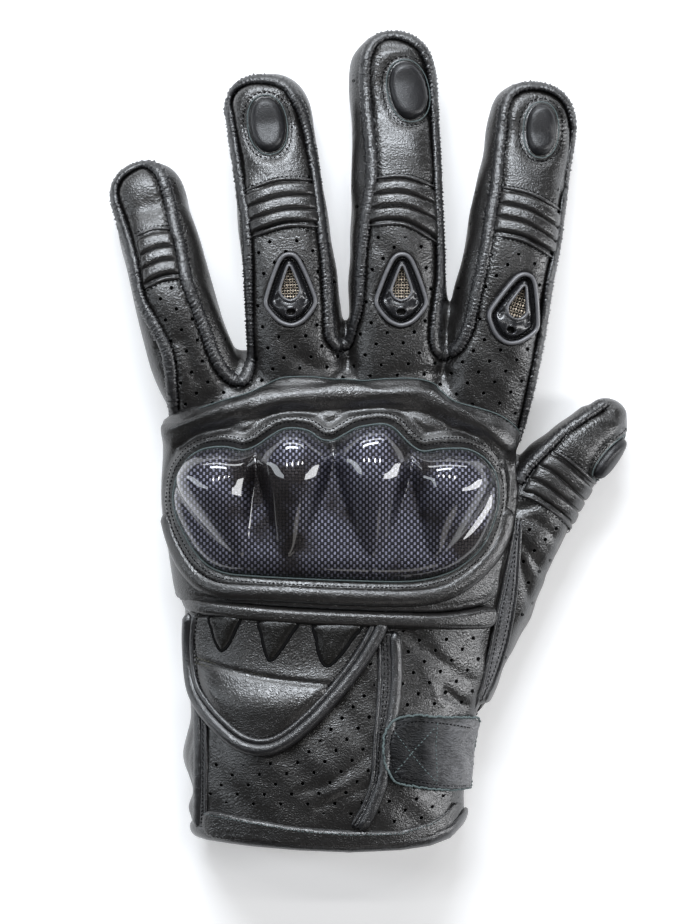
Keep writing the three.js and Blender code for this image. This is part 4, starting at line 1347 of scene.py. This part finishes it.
print("vents")
for name, (middle, turn) in vents.items():
    centre = fromPhoto([middle])[0]
    loops = {part: ventLoop(part, middle, turn) for part in ventShape}
    stiff = StiffSeat(above, loops["outer"], vent["follow"])
    sunken.append((loops["outer"], vent["sink"] * mm))
    made = layer(name + "_vent_frame", stiff, loops["outer"], vent["cell"] * mm,
                 ventHeightOf(loops, centre, turn), ventPlastic, [loops["hole"], loops["window"]],
                 vent["sink"] * mm, vent["wall"] * mm)
    settle(made, "vent_plastic", name + "_vent")
    bm = bmesh.new()
    for part, (away, width, height, lift) in vent["trims"].items():
        ring = evenLine(offsetLoop(loops[part], away * mm), 0.4 * mm, closed=True)
        rope(bm, stiff.on(ring, lift * mm), stiff.facing(ring), width * mm, height * mm, closed=True)
    # the rims take the lighter grey as a painted highlight
    settle(closedPiece(bm, name + "_vent_rims", rimHighlightPlastic))
    bm = bmesh.new()
    wireCloth(bm, stiff, loops["hole"], centre, turn)
    settle(closedPiece(bm, name + "_wire_cloth", ventWire), "vent_wire", name + "_vent_wire")


# Knuckle panel: a second leather over foam, with a soft roll along its front

def unrolled(pixels, drops=None, steps=6, closed=True):
    # pixels of the photograph on the back of the hand, as distances round and along it
    line = handArc.unroll(fromPhoto(pixels), 0.0 if drops is None else np.array(drops) * mm)
    return smoothLine(line, steps, closed)


panel = {"thickness": 2.2 * mm, "edge": 1.6 * mm, "cell": 0.7 * mm, "groove": 0.35 * mm, "sink": 0.6 * mm}
panelFront = [(160, 427), (169, 417), (181, 411), (200, 407), (225, 400), (250, 393), (275, 382), (300, 380),
              (340, 380), (380, 382), (427, 383), (440, 391), (452, 400), (470, 405), (488, 412), (501, 420),
              (511, 432)]
panelRight = [(512, 450), (511, 480), (508, 510), (503, 540), (497, 575), (490, 600)]
panelRear = [(440, 612), (340, 610), (240, 604), (183, 598)]
panelLeft = [(174, 560), (167, 500), (162, 450)]
ridgeLine = [(178, 430), (205, 418), (240, 409), (285, 400), (330, 396), (380, 395), (422, 396), (452, 408),
             (478, 424), (497, 444)]
valleyLine = [(185, 446), (205, 434), (240, 424), (280, 415), (330, 412), (385, 411), (420, 414), (445, 426),
              (475, 440), (495, 462)]

# The shield: a border, a raised field and four domes
shield = {
    "base": 2.5 * mm,
    "flange": (1.5 * mm, 0.8 * mm),  # rise, and how far in it takes
    "plateau": 2.6 * mm,
    "domes": 8.0 * mm,
    "nose": 6.5 * mm,  # how far in the domes reach their full height
    "edge": 7.0 * mm,
    "cell": 0.45 * mm,
    "wall": 1.4 * mm,
    "sink": -2.0 * mm,
    "foot": 556,  # pixel row where the domes run out
}
shieldPixels = [(181, 500), (182, 488), (186, 473), (195, 459), (205, 452), (217, 449), (231, 449), (245, 452),
                (258, 448), (270, 440), (284, 432), (297, 431), (310, 434), (320, 441), (332, 443), (345, 437),
                (356, 431), (370, 428), (383, 427), (393, 431), (403, 441), (412, 449), (422, 453), (435, 451),
                (450, 450), (465, 451), (478, 458), (487, 469), (491, 481), (492, 497), (490, 512), (484, 531),
                (475, 548), (463, 560), (448, 570), (427, 577), (400, 580), (350, 579), (300, 577), (250, 574),
                (228, 571), (212, 563), (200, 549), (191, 532), (184, 515)]
shieldDomes = [  # middle at the front, top of the dome, middle at the foot, half width, in pixels
    (222, 446, 246, 37), (296, 428, 290, 36), (372, 424, 372, 37), (447, 446, 432, 38),
]
shieldOutline = unrolled(shieldPixels, steps=3)
panelOutline = unrolled(panelFront + panelRight + panelRear + panelLeft, steps=4,
                        drops=[2] + [0] * (len(panelFront) + len(panelRight) + 2) + [1, 2, 2, 2])


def foldField(places, strokes):
    # sum of soft grooves and ridges beside lines: half width, rise and distance from the line in mm
    total = np.zeros(len(places))
    for line, half, rise, beside in strokes:
        away = lineDistance(places, line, closed=False)[0]
        total += rise * mm * hump(away, beside * mm, half * mm)
    return total


panelFolds = [
    ([(182, 458), (205, 440), (235, 428)], 0.9, -0.5),
    ([(178, 440), (200, 428), (225, 418)], 0.8, -0.4),
    ([(176, 425), (196, 416), (220, 410)], 0.7, -0.3),
    ([(505, 470), (497, 450), (480, 432)], 0.9, -0.4),
    ([(512, 500), (508, 470), (500, 450)], 0.8, -0.35),
    ([(500, 560), (508, 530), (511, 505)], 1.0, -0.4),
    ([(440, 420), (455, 426), (470, 437)], 0.8, -0.35),
    ([(262, 404), (250, 412), (238, 424)], 0.7, -0.25),
    ([(172, 480), (176, 500), (178, 520)], 0.9, -0.35),
]
shieldLoop = np.vstack([shieldOutline, shieldOutline[:1]])
panelStrokes = [(unrolled(line, closed=False), half, rise, 0) for line, half, rise in panelFolds]
panelStrokes += [
    (unrolled(ridgeLine, closed=False), 4.6, 2.6, 0),
    (unrolled(valleyLine, closed=False), 1.3, -1.2, 0),
    (shieldLoop, 1.5, 0.8, 2.7),
    (shieldLoop, 1.1, -0.6, 5.6),
]


def panelHeight(places, away):
    height = rolledEdge(away, panel["thickness"], panel["edge"])
    height -= panel["groove"] * hump(away, 1.9 * mm, 0.5 * mm)
    return height + step(away, 0.6 * mm, 3 * mm) * foldField(places, panelStrokes)


print("panel")
made = layer("knuckle_cover", onBack, panelOutline, panel["cell"], panelHeight, smoothLeather,
             sink=panel["sink"])
settle(made, "smooth_leather", "knuckle_panel", fill=0.5)


# Knuckle shield: a hard shell with four domes

def toPixels(places):
    # distances on the back of the hand, as pixels of the photograph
    spots = handArc.at(places[:, 0], places[:, 1])
    return spots[:, 0] / pixel + photoMiddle[0], photoMiddle[1] - spots[:, 1] / pixel


def shieldHeight(places, away):
    x, y = toPixels(places)
    edge = np.clip(away / shield["edge"], 0, 1)
    plateau = shield["plateau"] * (1 - (1 - edge) ** 2.2) * step(away, 0.5 * mm, 2.2 * mm)
    domes = np.zeros(len(places))
    for front, top, foot, half in shieldDomes:
        share = np.clip((shield["foot"] - y) / (shield["foot"] - top), 0.001, 1.2)
        middle = foot + (front - foot) * np.sin(np.clip(share * 1.3, 0, 1) * np.pi / 2)
        width = half * np.clip(share / 0.7, 0.001, 1) ** 0.6
        across = np.clip(np.abs(x - middle) / width, 0, 1)
        end = np.clip((share - 0.52) / 0.56, 0, 1)
        rise = step(share, -0.12, 0.62) * np.sqrt(1 - end**2.2)
        domes += (rise * (1 - across**2.2) ** 0.85) ** 4
    nose = np.sqrt(1 - (1 - np.clip(away / shield["nose"], 0, 1)) ** 2)
    domes = np.clip(domes, 0, None) ** 0.25 * shield["domes"] * nose
    rim = rolledEdge(away, *shield["flange"])
    return shield["base"] + rim + plateau + domes


underShield = Seat(handArc, (-62 * mm, 55 * mm), (62 * mm, 140 * mm), 1.0 * mm, 0, 0, onSkin=False)
print("shield")
bm = bmesh.new()
cutLayer(bm, underShield, shieldOutline, shield["cell"], shieldHeight, sink=shield["sink"])
made = closedPiece(bm, "carbon_shield", carbon)
soften = made.modifiers.new("softened", "SMOOTH")
soften.factor, soften.iterations = 0.5, 5
settle(walled(made, shield["wall"]), "carbon_shell", "knuckle_shield")


def onPanel(places):
    return panelHeight(places, lineDistance(places, panelOutline)[0]) + 0.02 * mm


panelTrim = {
    "stitch": np.array([1.2, 0.9, 0.42]) * mm,
    "lanes": (2.0, 3.4),  # mm outside the shield
    "frontIn": 0.5 * mm,
    "rimOut": 0.25 * mm,
}
for distance in panelTrim["lanes"]:
    loop = offsetLoop(evenLine(shieldOutline, 0.6 * mm, closed=True), distance * mm)
    stitchesOn("dark", onBack, np.vstack([loop, loop[:1]]), onPanel, panelTrim["stitch"])
frontEdge = evenLine(unrolled(panelFront[3:], closed=False), 0.5 * mm) - (0, panelTrim["frontIn"])
settle(ropeOn("front_edge_thread", tealThread, onBack, frontEdge, 0.34 * mm, 0.2 * mm, rise=onPanel(frontEdge)))
loop = offsetLoop(evenLine(shieldOutline, 0.5 * mm, closed=True), panelTrim["rimOut"])
settle(ropeOn("shield_rim_line", tealThread, underShield, loop, 0.5 * mm, 0.3 * mm,
              rise=shield["base"] + 0.5 * mm, closed=True))

rollPixels = [(171, 512), (175, 530), (182, 550), (192, 568), (207, 583), (229, 590), (273, 592), (354, 596),
              (422, 596), (457, 584), (485, 559), (499, 534), (503, 508)]
roll = {"width": 5.4 * mm, "height": 1.8 * mm, "lift": 1.9 * mm}
line = evenLine(unrolled(rollPixels, closed=False), 0.55 * mm)
made = ropeOn("padded_roll", smoothLeather, onBack, line, roll["width"], roll["height"], 18, lift=roll["lift"])
settle(made, "smooth_leather", "shield_roll", fill=1.0)

band = {"thickness": 4.0 * mm, "edge": 1.8 * mm, "cell": 0.5 * mm, "thinEnd": 14 * mm, "thinShare": 0.3}
bandPixels = [(184, 595), (240, 602), (300, 607), (400, 611), (445, 611), (489, 605), (487, 626), (450, 629),
              (350, 627), (300, 625), (260, 622), (220, 617), (190, 611)]
bandOutline = unrolled(bandPixels, steps=5)


def bandHeight(places, away):
    # thinner towards its outer end
    start = bandOutline[:, 0].min()
    full = step(places[:, 0], start, start + band["thinEnd"])
    share = band["thinShare"] + (1 - band["thinShare"]) * full
    return rolledEdge(away, band["thickness"], band["edge"]) * share


made = layer("rolled_band", onBack, bandOutline, band["cell"], bandHeight, smoothLeather)
settle(made, "binding", "back_band")


# Wrist flap with its piping and darts

flap = {
    "thickness": 2.6 * mm,
    "edge": 1.2 * mm,
    "cell": 0.6 * mm,
    "bulge": 1.6 * mm,
    "groove": 0.7 * mm,
    "lanes": (-0.75, 0.75),
    "stitch": np.array([1.2, 1.0, 0.4]) * mm,
}
flapPixels = [(199, 615), (200, 650), (202, 680), (209, 700), (222, 720), (240, 738), (256, 743), (280, 738),
              (300, 724), (320, 706), (336, 688), (350, 667), (361, 648), (371, 628), (372, 615), (300, 612)]
flapSeam = [(200, 659), (235, 670), (265, 677), (300, 682), (345, 686)]
bulgeLine = [(222, 692), (250, 702), (285, 704), (315, 700)]
flapOutline = unrolled(flapPixels, steps=5)
seamPath, bulgePath = unrolled(flapSeam, closed=False), unrolled(bulgeLine, closed=False)


def flapHeight(places, away):
    seamAway = lineDistance(places, seamPath, closed=False)[0]
    bulgeAway = lineDistance(places, bulgePath, closed=False)[0]
    height = rolledEdge(away, flap["thickness"], flap["edge"]) - flap["groove"] * hump(seamAway, 0, 0.9 * mm)
    return height + flap["bulge"] * hump(bulgeAway, 0, 6.5 * mm) * step(away, 0.5 * mm, 4 * mm)


print("flap")
made = layer("padded_flap", onBack, flapOutline, flap["cell"], flapHeight, smoothLeather)
settle(made, "leather", "wrist_flap", fill=0.5)
for shift in flap["lanes"]:
    path = evenLine(seamPath, 0.5 * mm) + (0, shift * mm)
    stitchesOn("olive", onBack, path, flap["thickness"] - 0.25 * mm, flap["stitch"])

piping = {
    "width": 3.9 * mm,
    "height": 1.7 * mm,
    "lift": 2.1 * mm,
    "edgeIn": 2.5 * mm,
    "edge": (1.7 * mm, 0.7 * mm),
    "stitchIn": 3.7 * mm,
    "stitch": np.array([1.3, 1.05, 0.4]) * mm,
}
pipingPixels = [
    (194, 612), (193.5, 640), (195, 668), (198.5, 690), (207, 708), (221, 726), (238, 741), (254, 747.5),
    (271, 747.5), (288, 740), (307, 725), (326, 706), (347, 681), (364, 657), (377, 634), (383, 618),
]
line = evenLine(unrolled(pipingPixels, closed=False), 0.5 * mm)
made = ropeOn("round_piping", bindingLeather, onBack, line, piping["width"], piping["height"], 14,
              lift=piping["lift"])
settle(made, "binding", "flap_piping")
inward = leftOf(line) * np.sign(((flapOutline.mean(0) - line) * leftOf(line)).sum())
made = ropeOn("piping_edge", bindingLeather, onBack, line + piping["edgeIn"] * inward, *piping["edge"], 10,
              lift=flap["thickness"] - 0.1 * mm)
settle(made)
stitchesOn("dark", onBack, line + piping["stitchIn"] * inward, flap["thickness"] + 0.05 * mm, piping["stitch"])

darts = {
    "outer": [(215, 615), (217, 630), (220, 641), (226, 650), (233, 642), (238, 630), (242, 615)],
    "middle": [(263, 619), (264, 634), (267, 649), (272, 660), (281, 651), (291, 635), (298, 619)],
    "inner": [(317, 623), (317, 638), (320, 655), (327, 666), (338, 657), (351, 639), (360, 623)],
}
dart = {"sink": -1.8 * mm, "thickness": 1.2 * mm, "edge": 3.2 * mm, "cell": 0.45 * mm}


def dartHeight(places, away):
    return flap["thickness"] + rolledEdge(away, dart["thickness"], dart["edge"]) - 0.2 * mm


for name, pixels in darts.items():
    outline = unrolled(pixels, steps=4)
    made = layer("dart_" + name, onBack, outline, dart["cell"], dartHeight, shadedDartLeather, sink=dart["sink"])
    settle(made, "smooth_leather", "flap_dart_" + name)
    # a dark rope round each dart: painted shade along its edge
    settle(ropeOn("dart_shade_outline_" + name, darkThread, onBack, outline, 1.2 * mm, 0.3 * mm, rise=flap["thickness"],
                  closed=True))


# Cuff: side strips, strap and hem binding

strips = {  # left line, right line, thickness and roll widths in mm, and whether it stands for a node
    "thumb_side_strip": (
        [(378, 630), (378, 700), (374, 750), (372, 778), (364, 802), (351, 824)],
        [(394, 630), (394, 700), (384, 765), (380, 785), (371, 808), (360, 828)],
        1.0, (1.2, 3.6), True),
    "outer_side_strip": (
        [(199, 690), (200, 740), (200, 790), (200, 842)],
        [(208, 700), (208, 745), (208, 790), (208, 842)],
        0.8, (3.6, 1.0), True),
    "thumb_seam_strip": (
        [(516, 520), (511, 545), (504, 580), (497, 612), (489, 650), (481, 685), (471, 712)],
        [(521, 520), (519, 550), (516, 590), (509, 630), (500, 662), (489, 690), (476, 712)],
        0.7, (1.1, 1.1), False),
}
strip = {
    "cell": 0.55 * mm,
    "edge": 0.6 * mm,
    "rollSink": 0.3,
    "rollRise": 0.28,  # of its width
    "pucker": 0.05,
    "stitchIn": 0.7,
    "stitch": np.array([1.4, 1.1, 0.4]) * mm,
}

for name, (left, right, thickness, widths, isNode) in strips.items():
    lines = [fromPhoto(left), fromPhoto(right)]
    seat = onBack if isNode else above
    if isNode:
        lines = [handArc.unroll(line) for line in lines]
    lines = [evenLine(smoothLine(line, 6), 0.6 * mm) for line in lines]

    def stripHeight(places, away):
        return rolledEdge(away, thickness * mm, strip["edge"])

    outline = np.vstack([lines[0], lines[1][::-1]])
    made = layer(name + "_sheet", seat, outline, strip["cell"], stripHeight,
                 bindingLeather if isNode else paleLeather)
    settle(made, "binding", *([name] if isNode else []))
    bm = bmesh.new()
    for line, side, width in zip(lines, (1, -1), widths):
        rope(bm, seat.on(line, (thickness - strip["rollSink"]) * mm), seat.facing(line), width * mm,
             (strip["rollSink"] + width * strip["rollRise"]) * mm, around=12,
             puckers=puckerOf(len(line), 0.6 * mm, strip["pucker"]))
        inner = line + side * leftOf(line) * (width / 2 + strip["stitchIn"]) * mm
        stitchesOn("dark", seat, inner, thickness * mm, strip["stitch"])
    settle(closedPiece(bm, name + "_rolls", bindingLeather))

strapPixels = [(382, 748), (383, 735), (388, 724), (398, 717), (416, 714), (440, 716), (470, 720), (466, 760),
               (462, 796), (440, 790), (413, 785), (394, 780), (385, 765)]
strap = {
    "thickness": 2.0 * mm,
    "edge": 0.5 * mm,
    "cell": 0.6 * mm,
    "lift": 0.9 * mm,
    "boxAt": 17.5 * mm,  # where the stitched box ends, from the strap's end
    "rumple": 0.3 * mm,
    "stitch": np.array([1.3, 1.0, 0.44]) * mm,
    "fuzz": 0.13 * mm,
    "sink": -0.3 * mm,
}
strapOutline = unrolled(strapPixels, drops=[0] * 6 + [5] * 3 + [0] * 4, steps=5)


def strapHeight(places, away):
    height = strap["lift"] + rolledEdge(away, strap["thickness"] - strap["lift"], strap["edge"])
    boxed = hump(places[:, 0], strapOutline[:, 0].min() + strap["boxAt"], 1.4 * mm)
    rumple = np.sin(places[:, 0] / (1.5 * mm) + 1.3 * np.sin(places[:, 1] / (2.3 * mm))) * strap["rumple"]
    return height - 0.3 * mm * hump(away, 1.6 * mm, 0.45 * mm) + rumple - 0.5 * mm * boxed


made = layer("strap_sheet", onBack, strapOutline, strap["cell"], strapHeight, strapSuede, sink=strap["sink"])
settle(made, "strap_leather", "wrist_strap")
strapStitches = [
    [(389, 742), (391, 731), (399, 723), (416, 720), (440, 722), (464, 726)],
    [(389, 752), (392, 766), (399, 776), (416, 780), (440, 785), (460, 790)],
    [(394, 732), (430, 778)], [(394, 770), (430, 728)], [(434, 723), (434, 783)],
]


def onStrap(places):
    return strapHeight(places, lineDistance(places, strapOutline)[0]) + 0.05 * mm


for pixels in strapStitches:
    line = handArc.unroll(fromPhoto(pixels))
    stitchesOn("teal" if len(pixels) == 2 else "dark", onBack, line, onStrap, strap["stitch"])
edge = evenLine(strapOutline, 0.45 * mm, closed=True)
fuzz = onBack.on(edge, strap["thickness"] - 0.1 * mm) + dice.normal(0, strap["fuzz"], (len(edge), 3))
settle(ropePiece("strap_raw_edge", tealThread, fuzz, onBack.facing(edge), 0.75 * mm, 0.4 * mm, 6, closed=True))

print("hem")
hem = {
    "width": 5.2 * mm,
    "height": 2.1 * mm,
    "back": 2.6 * mm,
    "sink": 0.6 * mm,
    "floor": 1.05 * mm,  # the roll's middle line stays over the floor
    "facing": 1.3 * mm,
    "facingEdge": 0.8 * mm,
    "facingLow": 1.2 * mm,
    "stitchIn": 1.3 * mm,
    "stitch": np.array([1.3, 1.15, 0.34]) * mm,
}
facingPixels = [(209, 817), (250, 821), (300, 826), (350, 828), (400, 829), (436, 822), (454, 812), (457, 834),
                (400, 846), (340, 846), (260, 846), (209, 846)]
facingOutline = handArc.unroll(fromPhoto(facingPixels))
facingOutline[:, 1] = np.maximum(facingOutline[:, 1], hem["facingLow"])
facingOutline = smoothLine(facingOutline, 5, closed=True)


def facingHeight(places, away):
    return rolledEdge(away, hem["facing"], hem["facingEdge"])


settle(layer("hem_facing", onBack, facingOutline, 0.6 * mm, facingHeight, smoothLeather), "binding")
line = evenLine(handArc.unroll(fromPhoto(facingPixels[:6])), 0.5 * mm) - (0, hem["stitchIn"])
stitchesOn("teal", onBack, line, hem["facing"] - 0.05 * mm, hem["stitch"])

angles = np.linspace(0, 2 * np.pi, 420, endpoint=False)
low, share = handArc.rowAt(np.full(len(angles), hem["back"]))
rows = handArc.rows[low] * (1 - share)[:, None] + handArc.rows[low + 1] * share[:, None]
mouth = handArc.point(rows, angles)
mouth[:, 2] = np.maximum(mouth[:, 2], 0.0)
mouth = evenLine(mouth, 0.6 * mm, closed=True)
outward = (mouth - mouth.mean(0)) * (1, 0, 1)
facing = np.cross(np.roll(mouth, -1, 0) - np.roll(mouth, 1, 0), (0, 1, 0))
facing = unit(facing * np.sign((facing * outward).sum(1))[:, None])
mouth[:, 2] = np.maximum(mouth[:, 2], hem["floor"])
made = ropePiece("hem_roll", bindingLeather, mouth - facing * hem["sink"], facing,
                 hem["width"], hem["height"], around=16, closed=True)
settle(made, "binding", "hem_binding")


# Skin: folds pressed into the leather, punched areas and the mouth

skinFolds = [  # pixels, half width and rise in mm
    ([(518, 510), (532, 506), (545, 502)], 1.2, -0.5),
    ([(520, 540), (532, 556), (545, 575)], 1.4, -0.8),
    ([(520, 560), (525, 580), (530, 600)], 1.3, -0.7),
    ([(535, 520), (552, 535), (566, 552)], 1.2, -0.5),
    ([(445, 690), (455, 698), (465, 705)], 1.2, -0.8),
    ([(430, 650), (450, 668), (470, 680)], 1.5, -0.35),
    ([(405, 640), (425, 668), (440, 700)], 1.6, 0.3),
    ([(330, 792), (350, 782), (370, 770)], 1.5, 0.3),
    ([(318, 806), (342, 796), (362, 786)], 1.2, -0.35),
    ([(300, 790), (330, 780), (365, 755)], 1.4, -0.3),
    ([(189, 640), (188, 680), (190, 700)], 0.8, -0.7),
    ([(187, 722), (184, 750), (187, 785), (192, 830)], 0.8, -0.8),
    ([(194, 730), (191, 760), (194, 800)], 0.7, -0.5),
    ([(375, 50), (395, 46), (425, 58)], 0.9, -0.4),
    ([(180, 340), (190, 360), (196, 380)], 1.6, -0.6),
    ([(160, 350), (170, 375), (172, 400)], 1.5, -0.5),
    ([(300, 360), (320, 368), (350, 370)], 2.0, -0.5),
    ([(400, 372), (425, 374), (455, 378)], 2.0, -0.5),
]
skinBumps = [  # pixel, spread and rise in mm, on the outer side of the cuff
    ((186, 634), 5, 1.4), ((186, 680), 4.5, 1.4), ((181, 755), 7, 2.4), ((189, 820), 4.5, 1.4),
    ((193, 655), 3, -1.2), ((191, 715), 3.5, -1.2), ((190, 792), 3.5, -1.0),
]
rumples = ((9.0, 0.28), (4.5, 0.16))  # size and rise of the random soft waves in mm
recess = {"half": 1.3 * mm, "depth": 0.7 * mm, "edge": 1.4 * mm}
groove = {"depth": 0.8 * mm, "half": 0.9 * mm, "gathered": 2.6 * mm}


def setAttribute(mesh, name, values, kind="FLOAT"):
    data = mesh.attributes.new(name, kind, "POINT").data
    data.foreach_set("vector" if kind == "FLOAT_VECTOR" else "value", values.astype(np.float32).ravel())


def pressFolds():
    mesh = skin.data
    co, normals = coordsOf(mesh), coordsOf(mesh, "normals")
    plan = co[:, :2]
    up = step(normals[:, 2], -0.1, 0.3)
    strokes = [(smoothLine(fromPhoto(line), 5), half, rise, 0) for line, half, rise in skinFolds]
    move = foldField(plan, strokes) * up
    for ring in padRings:
        move -= recess["depth"] * hump(lineDistance(plan, ring)[0], 0, recess["half"]) * up
    for outline, depth in sunken:
        near = np.linalg.norm(plan - outline.mean(0), axis=1) < 30 * mm
        away = np.where(isInside(plan[near], outline), lineDistance(plan[near], outline)[0], 0)
        move[near] -= depth * step(away, 0, recess["edge"]) * up[near]
    near, run = np.full(len(co), 1.0), np.zeros(len(co))
    for pixels in creases.values():
        away, spot = lineDistance(plan, smoothLine(fromPhoto(pixels), 4), closed=False)
        run = np.where(away < near, spot.sum(1), run)
        near = np.minimum(away, near)
    move -= groove["depth"] * hump(near, 0, groove["half"]) * up
    setAttribute(mesh, "seamNear", hump(near, 0, groove["gathered"]) * up)
    setAttribute(mesh, "seamRun", run)
    for place, spread, rise in skinBumps:
        away = np.column_stack([plan - fromPhoto([place])[0], (co[:, 2] - 14 * mm) * 0.6])
        move += rise * mm * hump(np.linalg.norm(away, axis=1), 0, spread * mm)
    waves = 0.0
    for scale, rise in rumples:
        for _ in range(5):
            direction = dice.normal(size=3)
            direction /= np.linalg.norm(direction) * scale * mm
            waves = waves + rise * mm * np.sin(co @ direction * 2 * np.pi / 2.2 + dice.uniform(0, 6.28)) / 2.2
    move += waves * step(co[:, 2], 0.5 * mm, 6 * mm)
    co += normals * move[:, None]
    co[:, 2] = np.maximum(co[:, 2], 0.0)
    mesh.vertices.foreach_set("co", co.ravel())
    mesh.update()


punchedAreas = {
    "fingers": [(120, 292), (185, 282), (205, 345), (238, 392), (254, 372), (252, 240), (320, 230), (326, 342),
                (343, 356), (356, 340), (368, 232), (438, 245), (432, 345), (450, 362), (472, 332), (492, 250),
                (556, 262), (540, 340), (525, 445), (505, 424), (470, 406), (427, 384), (275, 383), (200, 408),
                (178, 412), (172, 355)],
    "wrist": [(207, 760), (255, 765), (310, 748), (350, 705), (376, 650), (376, 760), (360, 815), (209, 806)],
    "thumbSide": [(398, 630), (492, 630), (480, 716), (416, 708), (398, 712)],
    "underStrap": [(384, 786), (462, 800), (448, 828), (372, 830)],
    "gusset": [(519, 535), (548, 515), (585, 530), (553, 600), (515, 650), (495, 690), (500, 600)],
}


def markHoles():
    # where the leather is punched, and a flattened place for the pattern so that it keeps its size on the sides
    mesh = skin.data
    co, normals = coordsOf(mesh), coordsOf(mesh, "normals")
    plan, up = co[:, :2], normals[:, 2]
    wanted = np.zeros(len(co))
    for pixels in punchedAreas.values():
        wanted = np.maximum(wanted, isInside(plan, fromPhoto(pixels)) & (up > 0.05))
    flat = co * (1, 1, 0)
    for name in (*fingers, "thumb"):
        rows, reach = limbs[name].rows, limbs[name].along
        side = rows[len(rows) // 2, 3:5]
        ahead = (plan - rows[0, :2]) @ np.array([-side[1], side[0]])
        x, y, lift, half = (np.interp(ahead, reach, rows[:, column]) for column in (0, 1, 2, 5))
        sideways = (plan[:, 0] - x) * side[0] + (plan[:, 1] - y) * side[1]
        mine = (ahead > 0.16 * reach[-1]) & (np.abs(sideways) < 1.12 * half) & (ahead < reach[-1])
        steep = mine & (np.abs(up) < 0.75)
        extra = np.sign(sideways) * np.clip(lift + 4 * mm - co[:, 2], 0, None)
        flat[steep, :2] += extra[steep, None] * side
        holed = mine & (up < 0.6) & (up > -0.55) & (ahead < 0.9 * reach[-1])
        if name == "little":
            holed &= sideways > 0
        if name == "thumb":
            holed &= (sideways < 0) & (ahead < 0.5 * reach[-1])
        wanted = np.maximum(wanted, holed)
    setAttribute(mesh, "perforated", wanted)
    setAttribute(mesh, "holePlace", flat, "FLOAT_VECTOR")


print("folds")
pressFolds()
markHoles()
for made in (skin, lining):
    openMouth(made, hemY + 1.0 * mm)
lining.data.flip_normals()
for material in (softLeather, liningCloth):
    skin.data.materials.append(material)
bm = bmesh.new()
bm.from_mesh(skin.data)
outerCount = len(bm.faces)
bm.from_mesh(lining.data)
bm.faces.ensure_lookup_table()
for face in bm.faces[outerCount:]:
    face.material_index = 1
rims = [e for e in bm.edges if e.is_boundary]
bmesh.ops.bridge_loops(bm, edges=rims)
for face in bm.faces:
    face.smooth = True
bm.to_mesh(skin.data)
bm.free()
bpy.data.objects.remove(lining)
settle(skin, "leather", "hand_back", "palm", "cuff", "little_finger", "ring_finger", "middle_finger",
       "index_finger", "thumb")

# Thread: every stitch of one colour is one piece
for (colour, bm), material in zip(threads.items(), (darkThread, tealThread, oliveThread)):
    settle(finished(bm, colour + "_stitches", material))


# Floor, lights and camera

floorFinish = mottledMaterial(
    "pale_floor", 8.0, (0.86, 0.86, 0.87, 1), (0.9, 0.9, 0.9, 1), (0.0, 1.0), (0.8, 0.95),
    **{"Specular IOR Level": 0.2, "Emission Color": (1, 1, 1, 1), "Emission Strength": 0.3})
bm = bmesh.new()
bmesh.ops.create_grid(bm, x_segments=4, y_segments=4, size=4.0)
floor = finished(bm, "floor", floorFinish, smooth=False)
floor.location.z = -0.2 * mm

studio = {  # place, size, power in watts, colour; each looks at the glove
    "key": ((-0.15, 0.78, 0.86), (0.8, 0.22), 15.0, (0.89, 0.94, 1.0)),
    "far strip": ((0.0, 1.15, 0.5), (1.8, 0.2), 10.0, (0.94, 0.97, 1.0)),
    "left strip": ((-1.0, 0.1, 0.5), (0.15, 1.2), 3.2, (0.88, 0.94, 1.0)),
    "right box": ((1.0, -0.05, 0.45), (0.2, 1.2), 8.5, (0.97, 0.98, 1.0)),
    "fill": ((0.3, -0.95, 0.85), (0.8, 0.3), 1.0, (1.0, 0.98, 0.96)),
}
spots = {"across": (-0.42, -0.15, 0.12, 0.36), "y": 0.3, "z": 1.0, "size": 0.05, "power": 0.35}
aim = Vector((0, 0, 0.02))


def areaLight(name, place, size, power, colour):
    data = bpy.data.lights.new(name, "AREA")
    data.shape = "RECTANGLE"
    data.size, data.size_y = size
    data.energy = power
    data.color = colour
    lamp = bpy.data.objects.new(name, data)
    lamp.location = place
    lamp.rotation_mode = "QUATERNION"
    lamp.rotation_quaternion = (aim - Vector(place)).to_track_quat("-Z", "Y")
    bpy.context.scene.collection.objects.link(lamp)


for name, values in studio.items():
    areaLight(name, *values)
for index, x in enumerate(spots["across"]):
    size = (spots["size"], spots["size"])
    areaLight(f"spot {index + 1}", (x, spots["y"], spots["z"]), size, spots["power"], (1, 1, 1))

world = bpy.data.worlds.new("studio")
world.use_nodes = True
backdrop = world.node_tree.nodes["Background"]
backdrop.inputs["Color"].default_value = (1.0, 0.97, 0.94, 1)
backdrop.inputs["Strength"].default_value = 0.07
bpy.context.scene.world = world

camera = {"lens": 350.0, "sensor": 36.0, "middle": (350.0, 462.0), "height": 924.0, "level": 0.02}
data = bpy.data.cameras.new("camera")
data.lens, data.sensor_width = camera["lens"], camera["sensor"]
data.clip_start, data.clip_end = 0.05, 20.0
lens = bpy.data.objects.new("camera", data)
centre = fromPhoto([camera["middle"]])[0]
distance = camera["height"] * pixel * camera["lens"] / camera["sensor"]
lens.location = (centre[0], centre[1], camera["level"] + distance)
bpy.context.scene.collection.objects.link(lens)
bpy.context.scene.camera = lens
bpy.context.scene.view_settings.view_transform = "Standard"

hemCurve = fromPhoto([(190, 836), (208, 840), (250, 845), (300, 849), (350, 851), (400, 849), (430, 845),
                      (450, 838), (468, 821)])


def bendHem(mesh):
    # the mouth of the cuff is cut in a soft curve
    co = coordsOf(mesh)
    rise = np.interp(co[:, 0], hemCurve[:, 0], hemCurve[:, 1]) - hemCurve[:, 1].min()
    co[:, 1] += rise * (1 - step(co[:, 1], hemY + 2 * mm, hemY + 24 * mm))
    mesh.vertices.foreach_set("co", co.ravel())
    mesh.update()


for piece in bpy.context.scene.objects:
    if piece.type == "MESH" and piece is not floor and not piece.hide_render:
        bendHem(piece.data)
